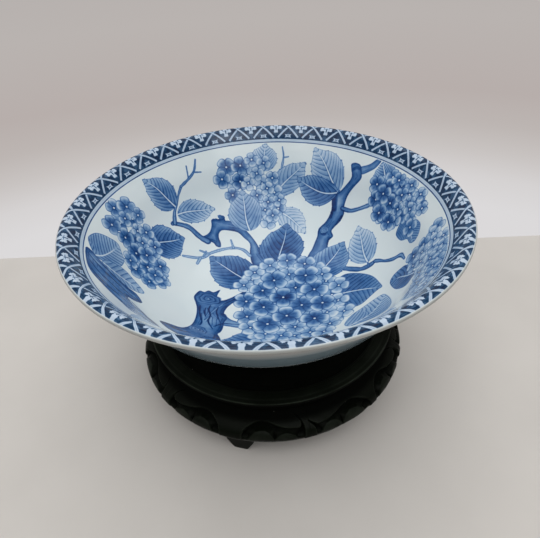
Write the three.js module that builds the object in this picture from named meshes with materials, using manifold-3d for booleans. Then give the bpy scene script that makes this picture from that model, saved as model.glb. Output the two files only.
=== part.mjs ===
// Porcelain bowl with a flared rim, resting on a round carved wooden stand.
// Millimetres, +Z up. The origin is on the floor, under the middle of the stand.
// -Y is the side that faces the viewer; angles are counted from +X towards +Y.

import * as THREE from 'three';
import { mergeVertices } from 'three/addons/utils/BufferGeometryUtils.js';
import Module from 'manifold-3d';

const wasm = await Module();
wasm.setup();

// ---------------------------------------------------------------- dimensions
const RIM_R = 121;          // bowl radius at the painted edge of the rim
const RIM_Z = 136.5;        // height of the rim above the floor
const BOWL_FACETS = 72;     // facets round the bowl

const SEAT_TOP_Z = 45.4;    // top of the seat board, where the foot ring stands
const SEAT_THICK = 6.0;
const SEAT_R = 74.4;
const GAP = 0.3;            // clearance between pieces that touch

const FOOT_OUT_R = 53.0;    // bowl's foot ring
const FOOT_IN_R = 48.5;

const LEDGE_Z = SEAT_TOP_Z - SEAT_THICK - GAP;  // top of the belt's inner lip, under the board
const LEDGE_OUT_R = 74.5;
const COLLAR_TOP_Z = 51.2;
const COLLAR_OUT_R = 85.4;
const COLLAR_IN_R = 74.8;
const COLLAR_FACETS = 60;

const BELT_R = 93.1;        // widest point of the carved belt
const BELT_BORE_R = 69.4;
const BELT_TOP_Z = 38.4;
const BELT_BOTTOM_Z = 18.7;
// The belt is carved by hand, so its six straps are not quite evenly spaced.
// Each strap sits over the joint between two segments.
const STRAP_DEG = [41.2, 100.6, 160.0, 219.5, 282.5, 342.0];
const PLAIN_DEG = [71.0, 130.5, 189.5, 252.1, 312.1, 371.4];  // middle of each plain zone
const SEGMENT_STEPS = 10;
const SEAM_DEG = 0.11;      // each end of a segment is trimmed by this angle

const FEET = 3;
const FIRST_FOOT_DEG = 253.0;
const FOOT_TOP_W = 19.2;
const FOOT_BOTTOM_W = 9.8;
const FOOT_OUTER_TOP_R = 84.9;
const FOOT_OUTER_BOTTOM_R = 83.3;
const FOOT_INNER_R = 71.2;

const DOWEL_R = 3.0;
const DOWEL_LENGTH = 15.0;
const DOWEL_CENTRE_R = 77.6;
const DOWEL_BOTTOM_Z = 9.0;

// The bowl's section in units of the rim radius: distance from the axis, and
// height from the plane of the rim.
const BOWL_INSIDE = [
  [0, -0.612], [0.20, -0.602], [0.355, -0.577], [0.473, -0.538], [0.571, -0.480],
  [0.649, -0.417], [0.708, -0.355], [0.752, -0.294], [0.788, -0.228], [0.820, -0.172],
  [0.857, -0.123], [0.90, -0.0698], [0.92, -0.0425], [0.94, -0.0185], [0.96, 0.0012],
  [0.974, 0.0078], [0.988, 0.0068],
];
const BOWL_LIP = [[1.0, 0.0], [1.0045, -0.006], [1.0045, -0.014], [0.9985, -0.022], [0.989, -0.0275]];
const BOWL_OUTSIDE = [
  [0.94, -0.070], [0.895, -0.113], [0.856, -0.170], [0.826, -0.244], [0.7875, -0.322],
  [0.745, -0.386], [0.68, -0.449], [0.61, -0.508], [0.53, -0.566], [0.455, -0.614],
];

// The belt's section, from the waist over the shoulder to the lower edge.
const BELT_OUTSIDE = [
  [79.1, 38.4], [81.7, 37.1], [84.4, 36.0], [86.7, 34.9], [89.0, 33.6], [90.9, 32.2],
  [92.3, 30.5], [BELT_R, 28.0], [92.9, 26.1], [91.5, 23.6], [89.5, 21.4], [87.0, 19.8],
  [84.2, 19.0], [81.7, BELT_BOTTOM_Z],
];

// ---------------------------------------------------------------- helpers
const rad = (deg) => deg * Math.PI / 180;
const unit = ([r, z]) => [r * RIM_R, RIM_Z + z * RIM_R];

function toSolid(geometry) {
  const g = geometry.clone();
  g.deleteAttribute('normal');
  g.deleteAttribute('uv');
  const m = mergeVertices(g, 1e-4);
  return new wasm.Manifold(new wasm.Mesh({
    numProp: 3,
    vertProperties: new Float32Array(m.attributes.position.array),
    triVerts: new Uint32Array(m.index.array),
  }));
}

function fromSolid(solid) {
  const mesh = solid.getMesh();
  const g = new THREE.BufferGeometry();
  g.setAttribute('position', new THREE.BufferAttribute(new Float32Array(mesh.vertProperties), 3));
  g.setIndex(new THREE.BufferAttribute(new Uint32Array(mesh.triVerts), 1));
  return g;
}

// A turned solid round the Z axis. points are [radius, height]; they start and
// end on the axis, or the loop closes on itself.
function turned(points, facets, startDeg = 0) {
  const g = new THREE.LatheGeometry(points.map(([r, z]) => new THREE.Vector2(r, z)), facets);
  g.rotateX(Math.PI / 2);
  g.rotateZ(rad(startDeg));
  g.deleteAttribute('normal');
  g.deleteAttribute('uv');
  return mergeVertices(g, 1e-4);
}

// A flat section [radius, height] swept round the Z axis from angle a to angle b.
function sweptArc(section, a, b, steps) {
  const shape = new THREE.Shape(section.map(([r, z]) => new THREE.Vector2(r, z)));
  const g = new THREE.ExtrudeGeometry(shape, { depth: 1, steps, bevelEnabled: false });
  const p = g.attributes.position;
  for (let i = 0; i < p.count; i++) {
    const r = p.getX(i);
    const h = p.getY(i);
    const angle = rad(b + (a - b) * p.getZ(i));
    p.setXYZ(i, r * Math.cos(angle), r * Math.sin(angle), h);
  }
  return g;
}

// A flat outline in (distance along the belt, height) pushed outwards through
// the belt's face at the given angle.
function faceCutter(outline, angleDeg, innerR, outerR) {
  const shape = new THREE.Shape(outline.map(([t, z]) => new THREE.Vector2(t, z)));
  const g = new THREE.ExtrudeGeometry(shape, { depth: outerR - innerR, bevelEnabled: false });
  // local x: along the belt, local y: up, local z: outwards
  g.applyMatrix4(new THREE.Matrix4().makeBasis(
    new THREE.Vector3(0, 1, 0), new THREE.Vector3(0, 0, 1), new THREE.Vector3(1, 0, 0)));
  g.translate(innerR, 0, 0);
  g.rotateZ(rad(angleDeg));
  return g;
}

const material = (color, roughness, metalness = 0) =>
  new THREE.MeshStandardMaterial({ color, roughness, metalness });
const glaze = () => material(0xd6dcdc, 0.12);
const blackWood = () => material(0x12140f, 0.42);
const rawWood = () => material(0x6b4a2e, 0.75);

const group = new THREE.Group();

function add(name, geometry, mat, parent = group) {
  geometry.computeVertexNormals();
  const mesh = new THREE.Mesh(geometry, mat);
  mesh.name = name;
  parent.add(mesh);
  return mesh;
}

// ---------------------------------------------------------------- bowl
// One fired piece: the flared wall with its rounded lip, the base and the foot
// ring that is turned from it.
{
  const footBottom = SEAT_TOP_Z + GAP;
  const profile = [
    [0, 54.9],
    [30, 54.5],
    [FOOT_IN_R - 1.2, 55.1],
    [FOOT_IN_R, 53.5],
    [FOOT_IN_R + 0.6, footBottom + 0.9],
    [FOOT_IN_R + 1.5, footBottom],
    [FOOT_OUT_R - 1.5, footBottom],
    [FOOT_OUT_R - 0.4, footBottom + 1.2],
    [FOOT_OUT_R, 57.2],
    ...BOWL_OUTSIDE.slice().reverse().map(unit),
    ...BOWL_LIP.slice().reverse().map(unit),
    ...BOWL_INSIDE.slice().reverse().map(unit),
  ];
  add('bowl', turned(profile, BOWL_FACETS), glaze());
}

// ---------------------------------------------------------------- stand
const stand = new THREE.Group();
group.add(stand);

// Round board that the foot ring stands on. It drops into the collar ring and
// lies on the belt's inner lip.
add('seat_board', turned([
  [0, SEAT_TOP_Z - SEAT_THICK], [SEAT_R - 0.6, SEAT_TOP_Z - SEAT_THICK], [SEAT_R, SEAT_TOP_Z - SEAT_THICK + 0.6],
  [SEAT_R, SEAT_TOP_Z - 0.5], [SEAT_R - 0.5, SEAT_TOP_Z], [0, SEAT_TOP_Z],
], 60), blackWood(), stand);

// Turned collar: a flat top with a crisp edge and a hollow waist below it. It
// stands on the belt, centred by the belt's inner lip.
add('collar_ring', turned([
  [COLLAR_IN_R, BELT_TOP_Z + GAP], [79.1, BELT_TOP_Z + GAP],
  [78.8, 41.2], [79.4, 44.1], [81.0, 46.5], [83.2, 48.1], [84.8, 48.8],
  [COLLAR_OUT_R, 49.5], [COLLAR_OUT_R, 50.7], [84.9, COLLAR_TOP_Z],
  [75.4, COLLAR_TOP_Z], [COLLAR_IN_R, 50.7], [COLLAR_IN_R, BELT_TOP_Z + GAP],
], COLLAR_FACETS), blackWood(), stand);

// Belt: carved segments with a strap over each joint. Each segment has a plain
// middle, and between it and each strap a large and a small lobe under deep
// cut grooves.
const beltSection = [
  ...BELT_OUTSIDE,
  [BELT_BORE_R + 0.5, BELT_BOTTOM_Z], [BELT_BORE_R, BELT_BOTTOM_Z + 0.5],
  [BELT_BORE_R, LEDGE_Z], [LEDGE_OUT_R, LEDGE_Z], [LEDGE_OUT_R, BELT_TOP_Z],
];
// Outlines on one half of a segment, distance from the middle of its plain zone
// to the strap, in millimetres along the belt at its widest, and height above
// the floor. They are drawn for a half that is HALF_LENGTH long.
const HALF_LENGTH = 49.3;
const ARCH_GROOVE = [
  [7.0, 15], [7.2, 24], [9.4, 31.6], [14.5, 34.2], [21.0, 34.4], [30.5, 32.9], [41.0, 32.3],
  [41.0, 31.0], [34.5, 31.4], [28.4, 29.6], [27.5, 28.0], [24.3, 32.0], [18.9, 32.6], [13.0, 30.4],
  [10.4, 26], [10.2, 15],
];
const HOOK_GROOVE = [
  [41.6, 15], [41.6, 28], [41.0, 31.0], [41.0, 32.3], [43.8, 34.6], [46.1, 31.5], [46.0, 15],
];
const GROOVE_FLOOR_R = 89.6;

const footAngles = Array.from({ length: FEET }, (_, k) => (FIRST_FOOT_DEG + k * 360 / FEET) % 360);

for (let k = 0; k < STRAP_DEG.length; k++) {
  const a = STRAP_DEG[k];
  const b = k + 1 < STRAP_DEG.length ? STRAP_DEG[k + 1] : STRAP_DEG[0] + 360;
  const middle = PLAIN_DEG[k];
  let solid = toSolid(sweptArc(beltSection, a + SEAM_DEG, b - SEAM_DEG, SEGMENT_STEPS));
  for (const side of [1, -1]) {
    const stretch = rad(side > 0 ? b - middle : middle - a) * BELT_R / HALF_LENGTH;
    for (const outline of [ARCH_GROOVE, HOOK_GROOVE]) {
      const centre = stretch * outline.reduce((s, q) => s + q[0], 0) / outline.length;
      const turn = (centre / BELT_R) * 180 / Math.PI * side;
      const local = outline.map(([t, z]) => [(t * stretch - centre) * side, z]);
      if (side < 0) local.reverse();
      solid = solid.subtract(toSolid(faceCutter(local, middle + turn, GROOVE_FLOOR_R, BELT_R + 8)));
    }
  }
  const footHere = footAngles.find((f) => Math.abs(((f - middle + 540) % 360) - 180) < 5);
  if (footHere !== undefined) {
    const hole = new THREE.CylinderGeometry(DOWEL_R + GAP, DOWEL_R + GAP, 12, 16);
    hole.rotateX(Math.PI / 2);
    hole.translate(DOWEL_CENTRE_R, 0, BELT_BOTTOM_Z + 0.6);
    hole.rotateZ(rad(footHere));
    solid = solid.subtract(toSolid(hole));
  }
  add(`belt_segment_${k + 1}`, fromSolid(solid), blackWood(), stand);
}

// Feet: short tapered blocks, each held to the belt by a dowel.
const footTop = BELT_BOTTOM_Z - GAP;
footAngles.forEach((angle, i) => {
  const face = new THREE.Shape([
    new THREE.Vector2(-FOOT_BOTTOM_W / 2, 0), new THREE.Vector2(FOOT_BOTTOM_W / 2, 0),
    new THREE.Vector2(FOOT_BOTTOM_W / 2 + 2.8, 5.5), new THREE.Vector2(FOOT_TOP_W / 2 - 0.4, 9),
    new THREE.Vector2(FOOT_TOP_W / 2, footTop),
    new THREE.Vector2(-FOOT_TOP_W / 2, footTop),
    new THREE.Vector2(-FOOT_TOP_W / 2 + 0.4, 9), new THREE.Vector2(-FOOT_BOTTOM_W / 2 - 2.8, 5.5),
  ]);
  const g = new THREE.ExtrudeGeometry(face, { depth: 1, bevelEnabled: false });
  const p = g.attributes.position;
  for (let n = 0; n < p.count; n++) {
    const t = p.getX(n);
    const h = p.getY(n);
    const outer = FOOT_OUTER_BOTTOM_R + (FOOT_OUTER_TOP_R - FOOT_OUTER_BOTTOM_R) * h / footTop;
    const inner = FOOT_INNER_R + 1.5 * (1 - h / footTop);
    const r = inner + (outer - inner) * p.getZ(n);
    p.setXYZ(n, r, t, h);
  }
  g.rotateZ(rad(angle));
  const bore = new THREE.CylinderGeometry(DOWEL_R + GAP, DOWEL_R + GAP, 20, 16);
  bore.rotateX(Math.PI / 2);
  bore.translate(DOWEL_CENTRE_R, 0, DOWEL_BOTTOM_Z - GAP + 10);
  bore.rotateZ(rad(angle));
  add(`foot_${i + 1}`, fromSolid(toSolid(g).subtract(toSolid(bore))), blackWood(), stand);

  const dowel = new THREE.CylinderGeometry(DOWEL_R, DOWEL_R, DOWEL_LENGTH - GAP, 16);
  dowel.rotateX(Math.PI / 2);
  dowel.translate(DOWEL_CENTRE_R, 0, DOWEL_BOTTOM_Z + (DOWEL_LENGTH - GAP) / 2);
  dowel.rotateZ(rad(angle));
  add(`foot_dowel_${i + 1}`, dowel, rawWood(), stand);
});

export default group;
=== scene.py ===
import math

import bpy
import numpy as np
from mathutils import Matrix, Vector


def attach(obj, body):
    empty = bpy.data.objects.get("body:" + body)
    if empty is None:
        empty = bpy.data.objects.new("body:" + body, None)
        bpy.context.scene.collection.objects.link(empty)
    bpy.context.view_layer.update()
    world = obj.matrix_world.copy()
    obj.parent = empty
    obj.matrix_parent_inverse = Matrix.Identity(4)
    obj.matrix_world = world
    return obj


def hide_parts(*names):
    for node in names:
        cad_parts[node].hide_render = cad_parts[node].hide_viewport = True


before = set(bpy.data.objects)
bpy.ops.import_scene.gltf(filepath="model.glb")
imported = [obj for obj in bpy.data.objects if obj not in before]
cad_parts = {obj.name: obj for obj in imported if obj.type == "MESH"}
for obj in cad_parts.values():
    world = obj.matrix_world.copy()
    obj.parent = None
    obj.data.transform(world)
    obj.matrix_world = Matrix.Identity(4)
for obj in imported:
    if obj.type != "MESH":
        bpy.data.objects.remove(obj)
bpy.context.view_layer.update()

MM = 0.001
RIM = 0.121           # radius of the painted edge of the rim, metres
RIM_Z = 0.1365         # its height above the floor


# ------------------------------------------------------------------ helpers
def smoothstep(x, a, b):
    t = np.clip((x - a) / (b - a), 0.0, 1.0)
    return t * t * (3 - 2 * t)


def curve_through(points, steps, before=None, after=None):
    """A smooth curve through the points. steps gives the sample length for each span, or one for all."""
    P = [np.array(p, float) for p in points]
    n = len(P)
    steps = [steps] * (n - 1) if np.isscalar(steps) else steps
    first = np.array(before, float) if before is not None else 2 * P[0] - P[1]
    last = np.array(after, float) if after is not None else 2 * P[-1] - P[-2]
    Q = [first] + P + [last]
    out, span = [], []
    for i in range(n - 1):
        p0, p1, p2, p3 = Q[i], Q[i + 1], Q[i + 2], Q[i + 3]
        t0 = 0.0
        t1 = t0 + max(1e-6, np.linalg.norm(p1 - p0)) ** 0.5
        t2 = t1 + max(1e-6, np.linalg.norm(p2 - p1)) ** 0.5
        t3 = t2 + max(1e-6, np.linalg.norm(p3 - p2)) ** 0.5
        m = max(1, int(math.ceil(np.linalg.norm(p2 - p1) / steps[i])))
        for j in range(m):
            t = t1 + (t2 - t1) * j / m
            a1 = (t1 - t) / (t1 - t0) * p0 + (t - t0) / (t1 - t0) * p1
            a2 = (t2 - t) / (t2 - t1) * p1 + (t - t1) / (t2 - t1) * p2
            a3 = (t3 - t) / (t3 - t2) * p2 + (t - t2) / (t3 - t2) * p3
            b1 = (t2 - t) / (t2 - t0) * a1 + (t - t0) / (t2 - t0) * a2
            b2 = (t3 - t) / (t3 - t1) * a2 + (t - t1) / (t3 - t1) * a3
            out.append((t2 - t) / (t2 - t1) * b1 + (t - t1) / (t2 - t1) * b2)
            span.append(i)
    out.append(P[-1])
    span.append(n - 2)
    return np.array(out), np.array(span)


def wobble(x, y, seed, octaves=3):
    """Smooth repeatable noise of about +-1."""
    rng = np.random.RandomState(seed)
    v = np.zeros(np.broadcast(x, y).shape)
    for o in range(octaves):
        f = 2.0 ** o
        for _ in range(4):
            a = rng.uniform(0, 2 * math.pi)
            ph = rng.uniform(0, 2 * math.pi)
            g = f * rng.uniform(0.7, 1.4)
            v = v + np.sin(g * (x * math.cos(a) + y * math.sin(a)) * 6.283 + ph) / (f * 4)
    return v * 1.3


def off_line(x, y, pts):
    """Distance from a run of straight pieces, with square ends."""
    best = np.full(len(x), 1e9)
    for j, ((x0, y0), (x1, y1)) in enumerate(zip(pts[:-1], pts[1:])):
        dx, dy = x1 - x0, y1 - y0
        L = math.hypot(dx, dy)
        t = ((x - x0) * dx + (y - y0) * dy) / L
        n = np.abs(-(x - x0) * dy + (y - y0) * dx) / L
        tc = np.clip(t, 0, L)
        d = np.hypot(n, t - tc)
        if j == 0:
            d = np.where(t < 0, 1e9, d)
        best = np.minimum(best, d)
    return best


def depth_in(x, y, pts):
    """Signed distance from an outline, positive inside it."""
    best = np.full(x.shape, 1e9)
    odd = np.zeros(x.shape, bool)
    for (x0, y0), (x1, y1) in zip(pts, pts[1:] + pts[:1]):
        dx, dy = x1 - x0, y1 - y0
        t = np.clip(((x - x0) * dx + (y - y0) * dy) / (dx * dx + dy * dy), 0, 1)
        best = np.minimum(best, np.hypot(x - x0 - t * dx, y - y0 - t * dy))
        if y0 != y1:
            odd ^= ((y0 > y) != (y1 > y)) & (x < x0 + (y - y0) * dx / dy)
    return np.where(odd, best, -best)


def blot(d, soft=9.0):
    return smoothstep(d, -soft, soft)


def build_mesh(name, verts, polys, smooth=True, uv=None, attrs=None):
    """polys: list of integer arrays, each (count, corners). uv: matching list of (count, corners, 2)."""
    me = bpy.data.meshes.new(name)
    me.vertices.add(len(verts))
    me.vertices.foreach_set("co", np.ascontiguousarray(verts, np.float32).ravel())
    loops = np.concatenate([p.ravel() for p in polys]).astype(np.int32)
    sizes = np.concatenate([np.full(len(p), p.shape[1]) for p in polys])
    starts = np.concatenate([[0], np.cumsum(sizes)[:-1]]).astype(np.int32)
    me.loops.add(len(loops))
    me.loops.foreach_set("vertex_index", loops)
    me.polygons.add(len(sizes))
    me.polygons.foreach_set("loop_start", starts)
    me.polygons.foreach_set("use_smooth", np.full(len(sizes), smooth, bool))
    me.update(calc_edges=True)
    if uv is not None:
        layer = me.uv_layers.new(name="OFBake")
        flat = np.concatenate([u.reshape(-1, 2) for u in uv]).astype(np.float32)
        layer.data.foreach_set("uv", flat.ravel())
    for key, values in (attrs or {}).items():
        a = me.attributes.new(key, "FLOAT", "POINT")
        a.data.foreach_set("value", np.ascontiguousarray(values, np.float32))
    me.validate()
    ob = bpy.data.objects.new(name, me)
    bpy.context.scene.collection.objects.link(ob)
    return ob


def turned_mesh(name, profile, columns, close=False, attrs=None):
    """A turned piece from a profile of (radius, height) in metres; it starts and ends on the axis or closes on itself."""
    profile = np.asarray(profile, float)
    on_axis = profile[:, 0] < 1e-7
    ang = np.arange(columns) * 2 * math.pi / columns
    verts, rows = [], []
    total = 0
    for (r, z), pole in zip(profile, on_axis):
        if pole:
            verts.append(np.array([[0, 0, z]]))
            rows.append(np.array([total]))
            total += 1
        else:
            verts.append(np.stack([r * np.cos(ang), r * np.sin(ang), np.full(columns, z)], 1))
            rows.append(total + np.arange(columns))
            total += columns
    quads, tris = [], []
    pairs = list(zip(rows[:-1], rows[1:])) + ([(rows[-1], rows[0])] if close else [])
    for a, b in pairs:
        if len(a) == 1 and len(b) == 1:
            continue
        if len(a) == 1:
            tris.append(np.stack([np.full(columns, a[0]), b, np.roll(b, -1)], 1))
        elif len(b) == 1:
            tris.append(np.stack([a, np.full(columns, b[0]), np.roll(a, -1)], 1))
        else:
            quads.append(np.stack([a, b, np.roll(b, -1), np.roll(a, -1)], 1))
    polys = ([np.concatenate(quads)] if quads else []) + ([np.concatenate(tris)] if tris else [])
    per_vertex = {}
    for key, values in (attrs or {}).items():
        per_vertex[key] = np.concatenate([np.full(len(r), values[i]) for i, r in enumerate(rows)])
    return build_mesh(name, np.concatenate(verts), polys, attrs=per_vertex)


# ------------------------------------------------------------------ bowl: section
BOWL_INSIDE = [
    (0, -0.612), (0.20, -0.602), (0.355, -0.577), (0.473, -0.538), (0.571, -0.480), (0.649, -0.417),
    (0.708, -0.355), (0.752, -0.294), (0.788, -0.228), (0.820, -0.172), (0.857, -0.123), (0.90, -0.0698),
    (0.92, -0.0425), (0.94, -0.0185), (0.96, 0.0012), (0.974, 0.0078), (0.988, 0.0068),
]
BOWL_LIP = [(1.0, 0.0), (1.0045, -0.006), (1.0045, -0.014), (0.9985, -0.022), (0.989, -0.0275)]
BOWL_OUTSIDE = [
    (0.94, -0.070), (0.895, -0.113), (0.856, -0.170), (0.826, -0.244), (0.7875, -0.322),
    (0.745, -0.386), (0.68, -0.449), (0.61, -0.508), (0.53, -0.566), (0.455, -0.614),
]
FOOT_RING = [
    (53.0, 57.2), (52.6, 46.9), (51.5, 45.7), (50.0, 45.7), (49.1, 46.6), (48.5, 53.5),
    (47.3, 55.1), (30.0, 54.5), (0.0, 54.9),
]

section = [(r * 121.0, 136.5 + z * 121.0) for r, z in BOWL_INSIDE + BOWL_LIP + BOWL_OUTSIDE] + FOOT_RING
n_in, n_lip, n_out = len(BOWL_INSIDE), len(BOWL_LIP), len(BOWL_OUTSIDE)
span_steps = []
for i in range(len(section) - 1):
    if i < 10:
        span_steps.append(0.42)
    elif i < n_in + n_lip - 1:
        span_steps.append(0.26)                 # finer under the border and round the lip
    elif i < n_in + n_lip + n_out - 1:
        span_steps.append(0.75)
    elif i < len(section) - 3:
        span_steps.append(0.45)
    else:
        span_steps.append(1.2)
bowl_curve, bowl_span = curve_through(section, span_steps, before=(-24.2, 63.66), after=(-30.0, 54.5))
bowl_curve[0, 0] = 0.0
bowl_curve[-1, 0] = 0.0
ring_r, ring_z = bowl_curve[:, 0], bowl_curve[:, 1]
step_len = np.concatenate([[0], np.hypot(np.diff(ring_r), np.diff(ring_z))])
ring_s = np.cumsum(step_len)
split = int(np.argmax(ring_r))                 # the lip's outermost ring

# A flat map of the inside that keeps small shapes true: log(flat radius) grows by ds / r.
flat = np.zeros(len(ring_r))
flat[1] = ring_r[1] / 121.0
for i in range(2, len(ring_r)):
    mid = 0.5 * (ring_r[i] + ring_r[i - 1])
    flat[i] = flat[i - 1] * math.exp(step_len[i] / max(mid, 1e-6)) if i <= split else flat[i - 1]
inside_r = ring_r[:split + 1] / 121.0
inside_flat = flat[:split + 1]


def to_flat(x, y):
    r = math.hypot(x, y)
    if r < 1e-6:
        return np.array([0.0, 0.0])
    return np.array([x, y]) * float(np.interp(r, inside_r, inside_flat)) / r


def scale_at(x, y):
    """Length on the glaze for a unit of the flat map."""
    r = max(math.hypot(x, y), 0.02)
    return r / float(np.interp(r, inside_r, inside_flat))


def columns_for(i):
    r = ring_r[i]
    if i <= split + 3:
        for limit, n in ((106.0, 3456), (60.5, 1728), (30.2, 864), (15.1, 432), (7.5, 216), (3.0, 108)):
            if r >= limit:
                return n
        return 54
    if i < split + 8:
        return 1728
    if r > 47.0:
        return 864
    for limit, n in ((28.0, 432), (14.0, 216), (6.0, 108)):
        if r >= limit:
            return n
    return 54


# ------------------------------------------------------------------ bowl: rings and faces
bowl_verts, ring_index, ring_theta = [], [], []
count = 0
for i in range(len(ring_r)):
    if ring_r[i] < 1e-6:
        bowl_verts.append(np.array([[0, 0, ring_z[i]]]))
        ring_index.append(np.array([count]))
        ring_theta.append(np.array([0.0]))
        count += 1
        continue
    n = columns_for(i)
    ang = np.arange(n) * 2 * math.pi / n
    bowl_verts.append(np.stack([ring_r[i] * np.cos(ang), ring_r[i] * np.sin(ang), np.full(n, ring_z[i])], 1))
    ring_index.append(count + np.arange(n))
    ring_theta.append(ang)
    count += n
bowl_verts = np.concatenate(bowl_verts) * MM
vert_ring = np.concatenate([np.full(len(r), i) for i, r in enumerate(ring_index)])
vert_theta = np.concatenate(ring_theta)

quads, tris, quad_side, tri_side = [], [], [], []
for i in range(len(ring_index) - 1):
    a, b = ring_index[i], ring_index[i + 1]
    side = 0 if i < split else 1
    if len(a) == 1:
        f = np.stack([np.full(len(b), a[0]), b, np.roll(b, -1)], 1)
        tris.append(f)
        tri_side.append(np.full(len(f), side))
    elif len(b) == 1:
        f = np.stack([a, np.full(len(a), b[0]), np.roll(a, -1)], 1)
        tris.append(f)
        tri_side.append(np.full(len(f), side))
    elif len(a) == len(b):
        f = np.stack([a, b, np.roll(b, -1), np.roll(a, -1)], 1)
        quads.append(f)
        quad_side.append(np.full(len(f), side))
    elif len(b) == 2 * len(a):
        m = len(a)
        j = np.arange(m)
        i0, i1 = a, np.roll(a, -1)
        o0, o1, o2 = b[2 * j], b[2 * j + 1], b[(2 * j + 2) % len(b)]
        f = np.concatenate([np.stack([i0, o0, o1], 1), np.stack([i0, o1, i1], 1), np.stack([i1, o1, o2], 1)])
        tris.append(f)
        tri_side.append(np.full(len(f), side))
    elif len(a) == 2 * len(b):
        m = len(b)
        j = np.arange(m)
        i0, i1 = b, np.roll(b, -1)
        o0, o1, o2 = a[2 * j], a[2 * j + 1], a[(2 * j + 2) % len(a)]
        f = np.concatenate([np.stack([i0, o1, o0], 1), np.stack([i0, i1, o1], 1), np.stack([i1, o2, o1], 1)])
        tris.append(f)
        tri_side.append(np.full(len(f), side))
    else:
        raise RuntimeError("ring columns must change by a factor of two")
quads, tris = np.concatenate(quads), np.concatenate(tris)
quad_side, tri_side = np.concatenate(quad_side), np.concatenate(tri_side)

# Unwrapped layout: the inside as one large disc, the outside as a smaller one.
in_rad = np.where(vert_ring <= split, flat[np.minimum(vert_ring, split)], flat[split]) / flat[split]
out_rad = (ring_s[-1] - ring_s[vert_ring]) / (ring_s[-1] - ring_s[split])
uv_in = np.stack([0.405 + 0.395 * in_rad * np.cos(vert_theta), 0.405 + 0.395 * in_rad * np.sin(vert_theta)], 1)
uv_out = np.stack([0.822 + 0.170 * out_rad * np.cos(vert_theta), 0.822 - 0.170 * out_rad * np.sin(vert_theta)], 1)


def side_uv(faces, side):
    return np.where((side == 0)[:, None, None], uv_in[faces], uv_out[faces])


# ------------------------------------------------------------------ bowl: painting
inside = vert_ring <= split
P_r = ring_r[vert_ring[inside]] / 121.0
P_th = vert_theta[inside]
P_rho = flat[vert_ring[inside]]
A = (P_rho * np.cos(P_th)).astype(np.float32)
B = (P_rho * np.sin(P_th)).astype(np.float32)
pigment = np.zeros(len(A), np.float32)      # cobalt, 0 bare glaze to 1 darkest
rng = np.random.RandomState(11)


def near(c, reach):
    i = np.flatnonzero((np.abs(A - c[0]) < reach) & (np.abs(B - c[1]) < reach))
    return i, (A[i] - c[0]).astype(float), (B[i] - c[1]).astype(float)


def lay(i, cover, density):
    pigment[i] = pigment[i] * (1 - cover) + density * cover


def floret(x, y, size, tone, turn=None, petals=4):
    c = to_flat(x, y)
    s = size / scale_at(x, y)
    mm = 1 / (121.0 * size)                 # a millimetre on the glaze, in petal lengths
    turn = rng.uniform(0, 1.57) if turn is None else turn
    i, dx, dy = near(c, 1.3 * s)
    if not len(i):
        return
    dx, dy = dx / s, dy / s
    q = np.hypot(dx, dy)
    half = 0.50 if petals == 4 else 0.40
    soft = 0.22 * mm
    order = list(range(petals))
    rng.shuffle(order)
    for j in order:
        a = turn + 2 * math.pi * j / petals + rng.uniform(-0.09, 0.09)
        long = rng.uniform(0.92, 1.04)
        u = dx * math.cos(a) + dy * math.sin(a)
        w = -dx * math.sin(a) + dy * math.cos(a)
        wide = half * rng.uniform(0.93, 1.05) * (0.58 + 0.42 * smoothstep(u, 0.05, 0.50))
        mid, reach = 0.54 * long, 0.45 * long
        g = (np.abs((u - mid) / reach) ** 2.7 + np.abs(w / wide) ** 2.7) ** (1 / 2.7)
        deep = (1 - g) * 0.46
        cover = smoothstep(deep, -soft, soft)
        # full at the heart, washed out to white at the outer margin
        light = rng.uniform(0.62, 1.0)
        d = tone * (1.16 - 0.34 * np.clip(u, 0, 1)) * rng.uniform(0.88, 1.10)
        pale = smoothstep(u + 0.32 * g, 0.50, 1.12)
        d = d * (1 - light * (0.92 - 0.20 * tone) * pale)
        d = d * (1 + 0.07 * np.sin(12 * np.arctan2(w, u + 0.12) + j) * smoothstep(u, 0.15, 0.45))
        edge = min(1.0, 0.45 * tone + 0.60)
        d = d + (edge - d) * np.exp(-((deep - 0.20 * mm) / (0.36 * mm)) ** 2) * (0.98 - 0.48 * smoothstep(u, 0.50, 0.95))
        lay(i, cover, np.clip(d, 0.03, 1))
    # fine dark lines run out from the heart between the petals
    ang = (np.arctan2(dy, dx) - turn) % (2 * math.pi / petals) - math.pi / petals
    gap = np.abs(np.sin(ang)) * q
    dark = min(1.0, 0.35 * tone + 0.68)
    lay(i, 0.80 * np.exp(-(gap / (0.34 * mm)) ** 2) * smoothstep(q, 0.06, 0.12) * smoothstep(q, 0.46, 0.30), dark)
    lay(i, 0.72 * np.exp(-((q - 1.15 * mm) / (0.55 * mm)) ** 2), dark)
    lay(i, 1 - smoothstep(q, 0.50 * mm, 0.85 * mm), 0.0)


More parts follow.
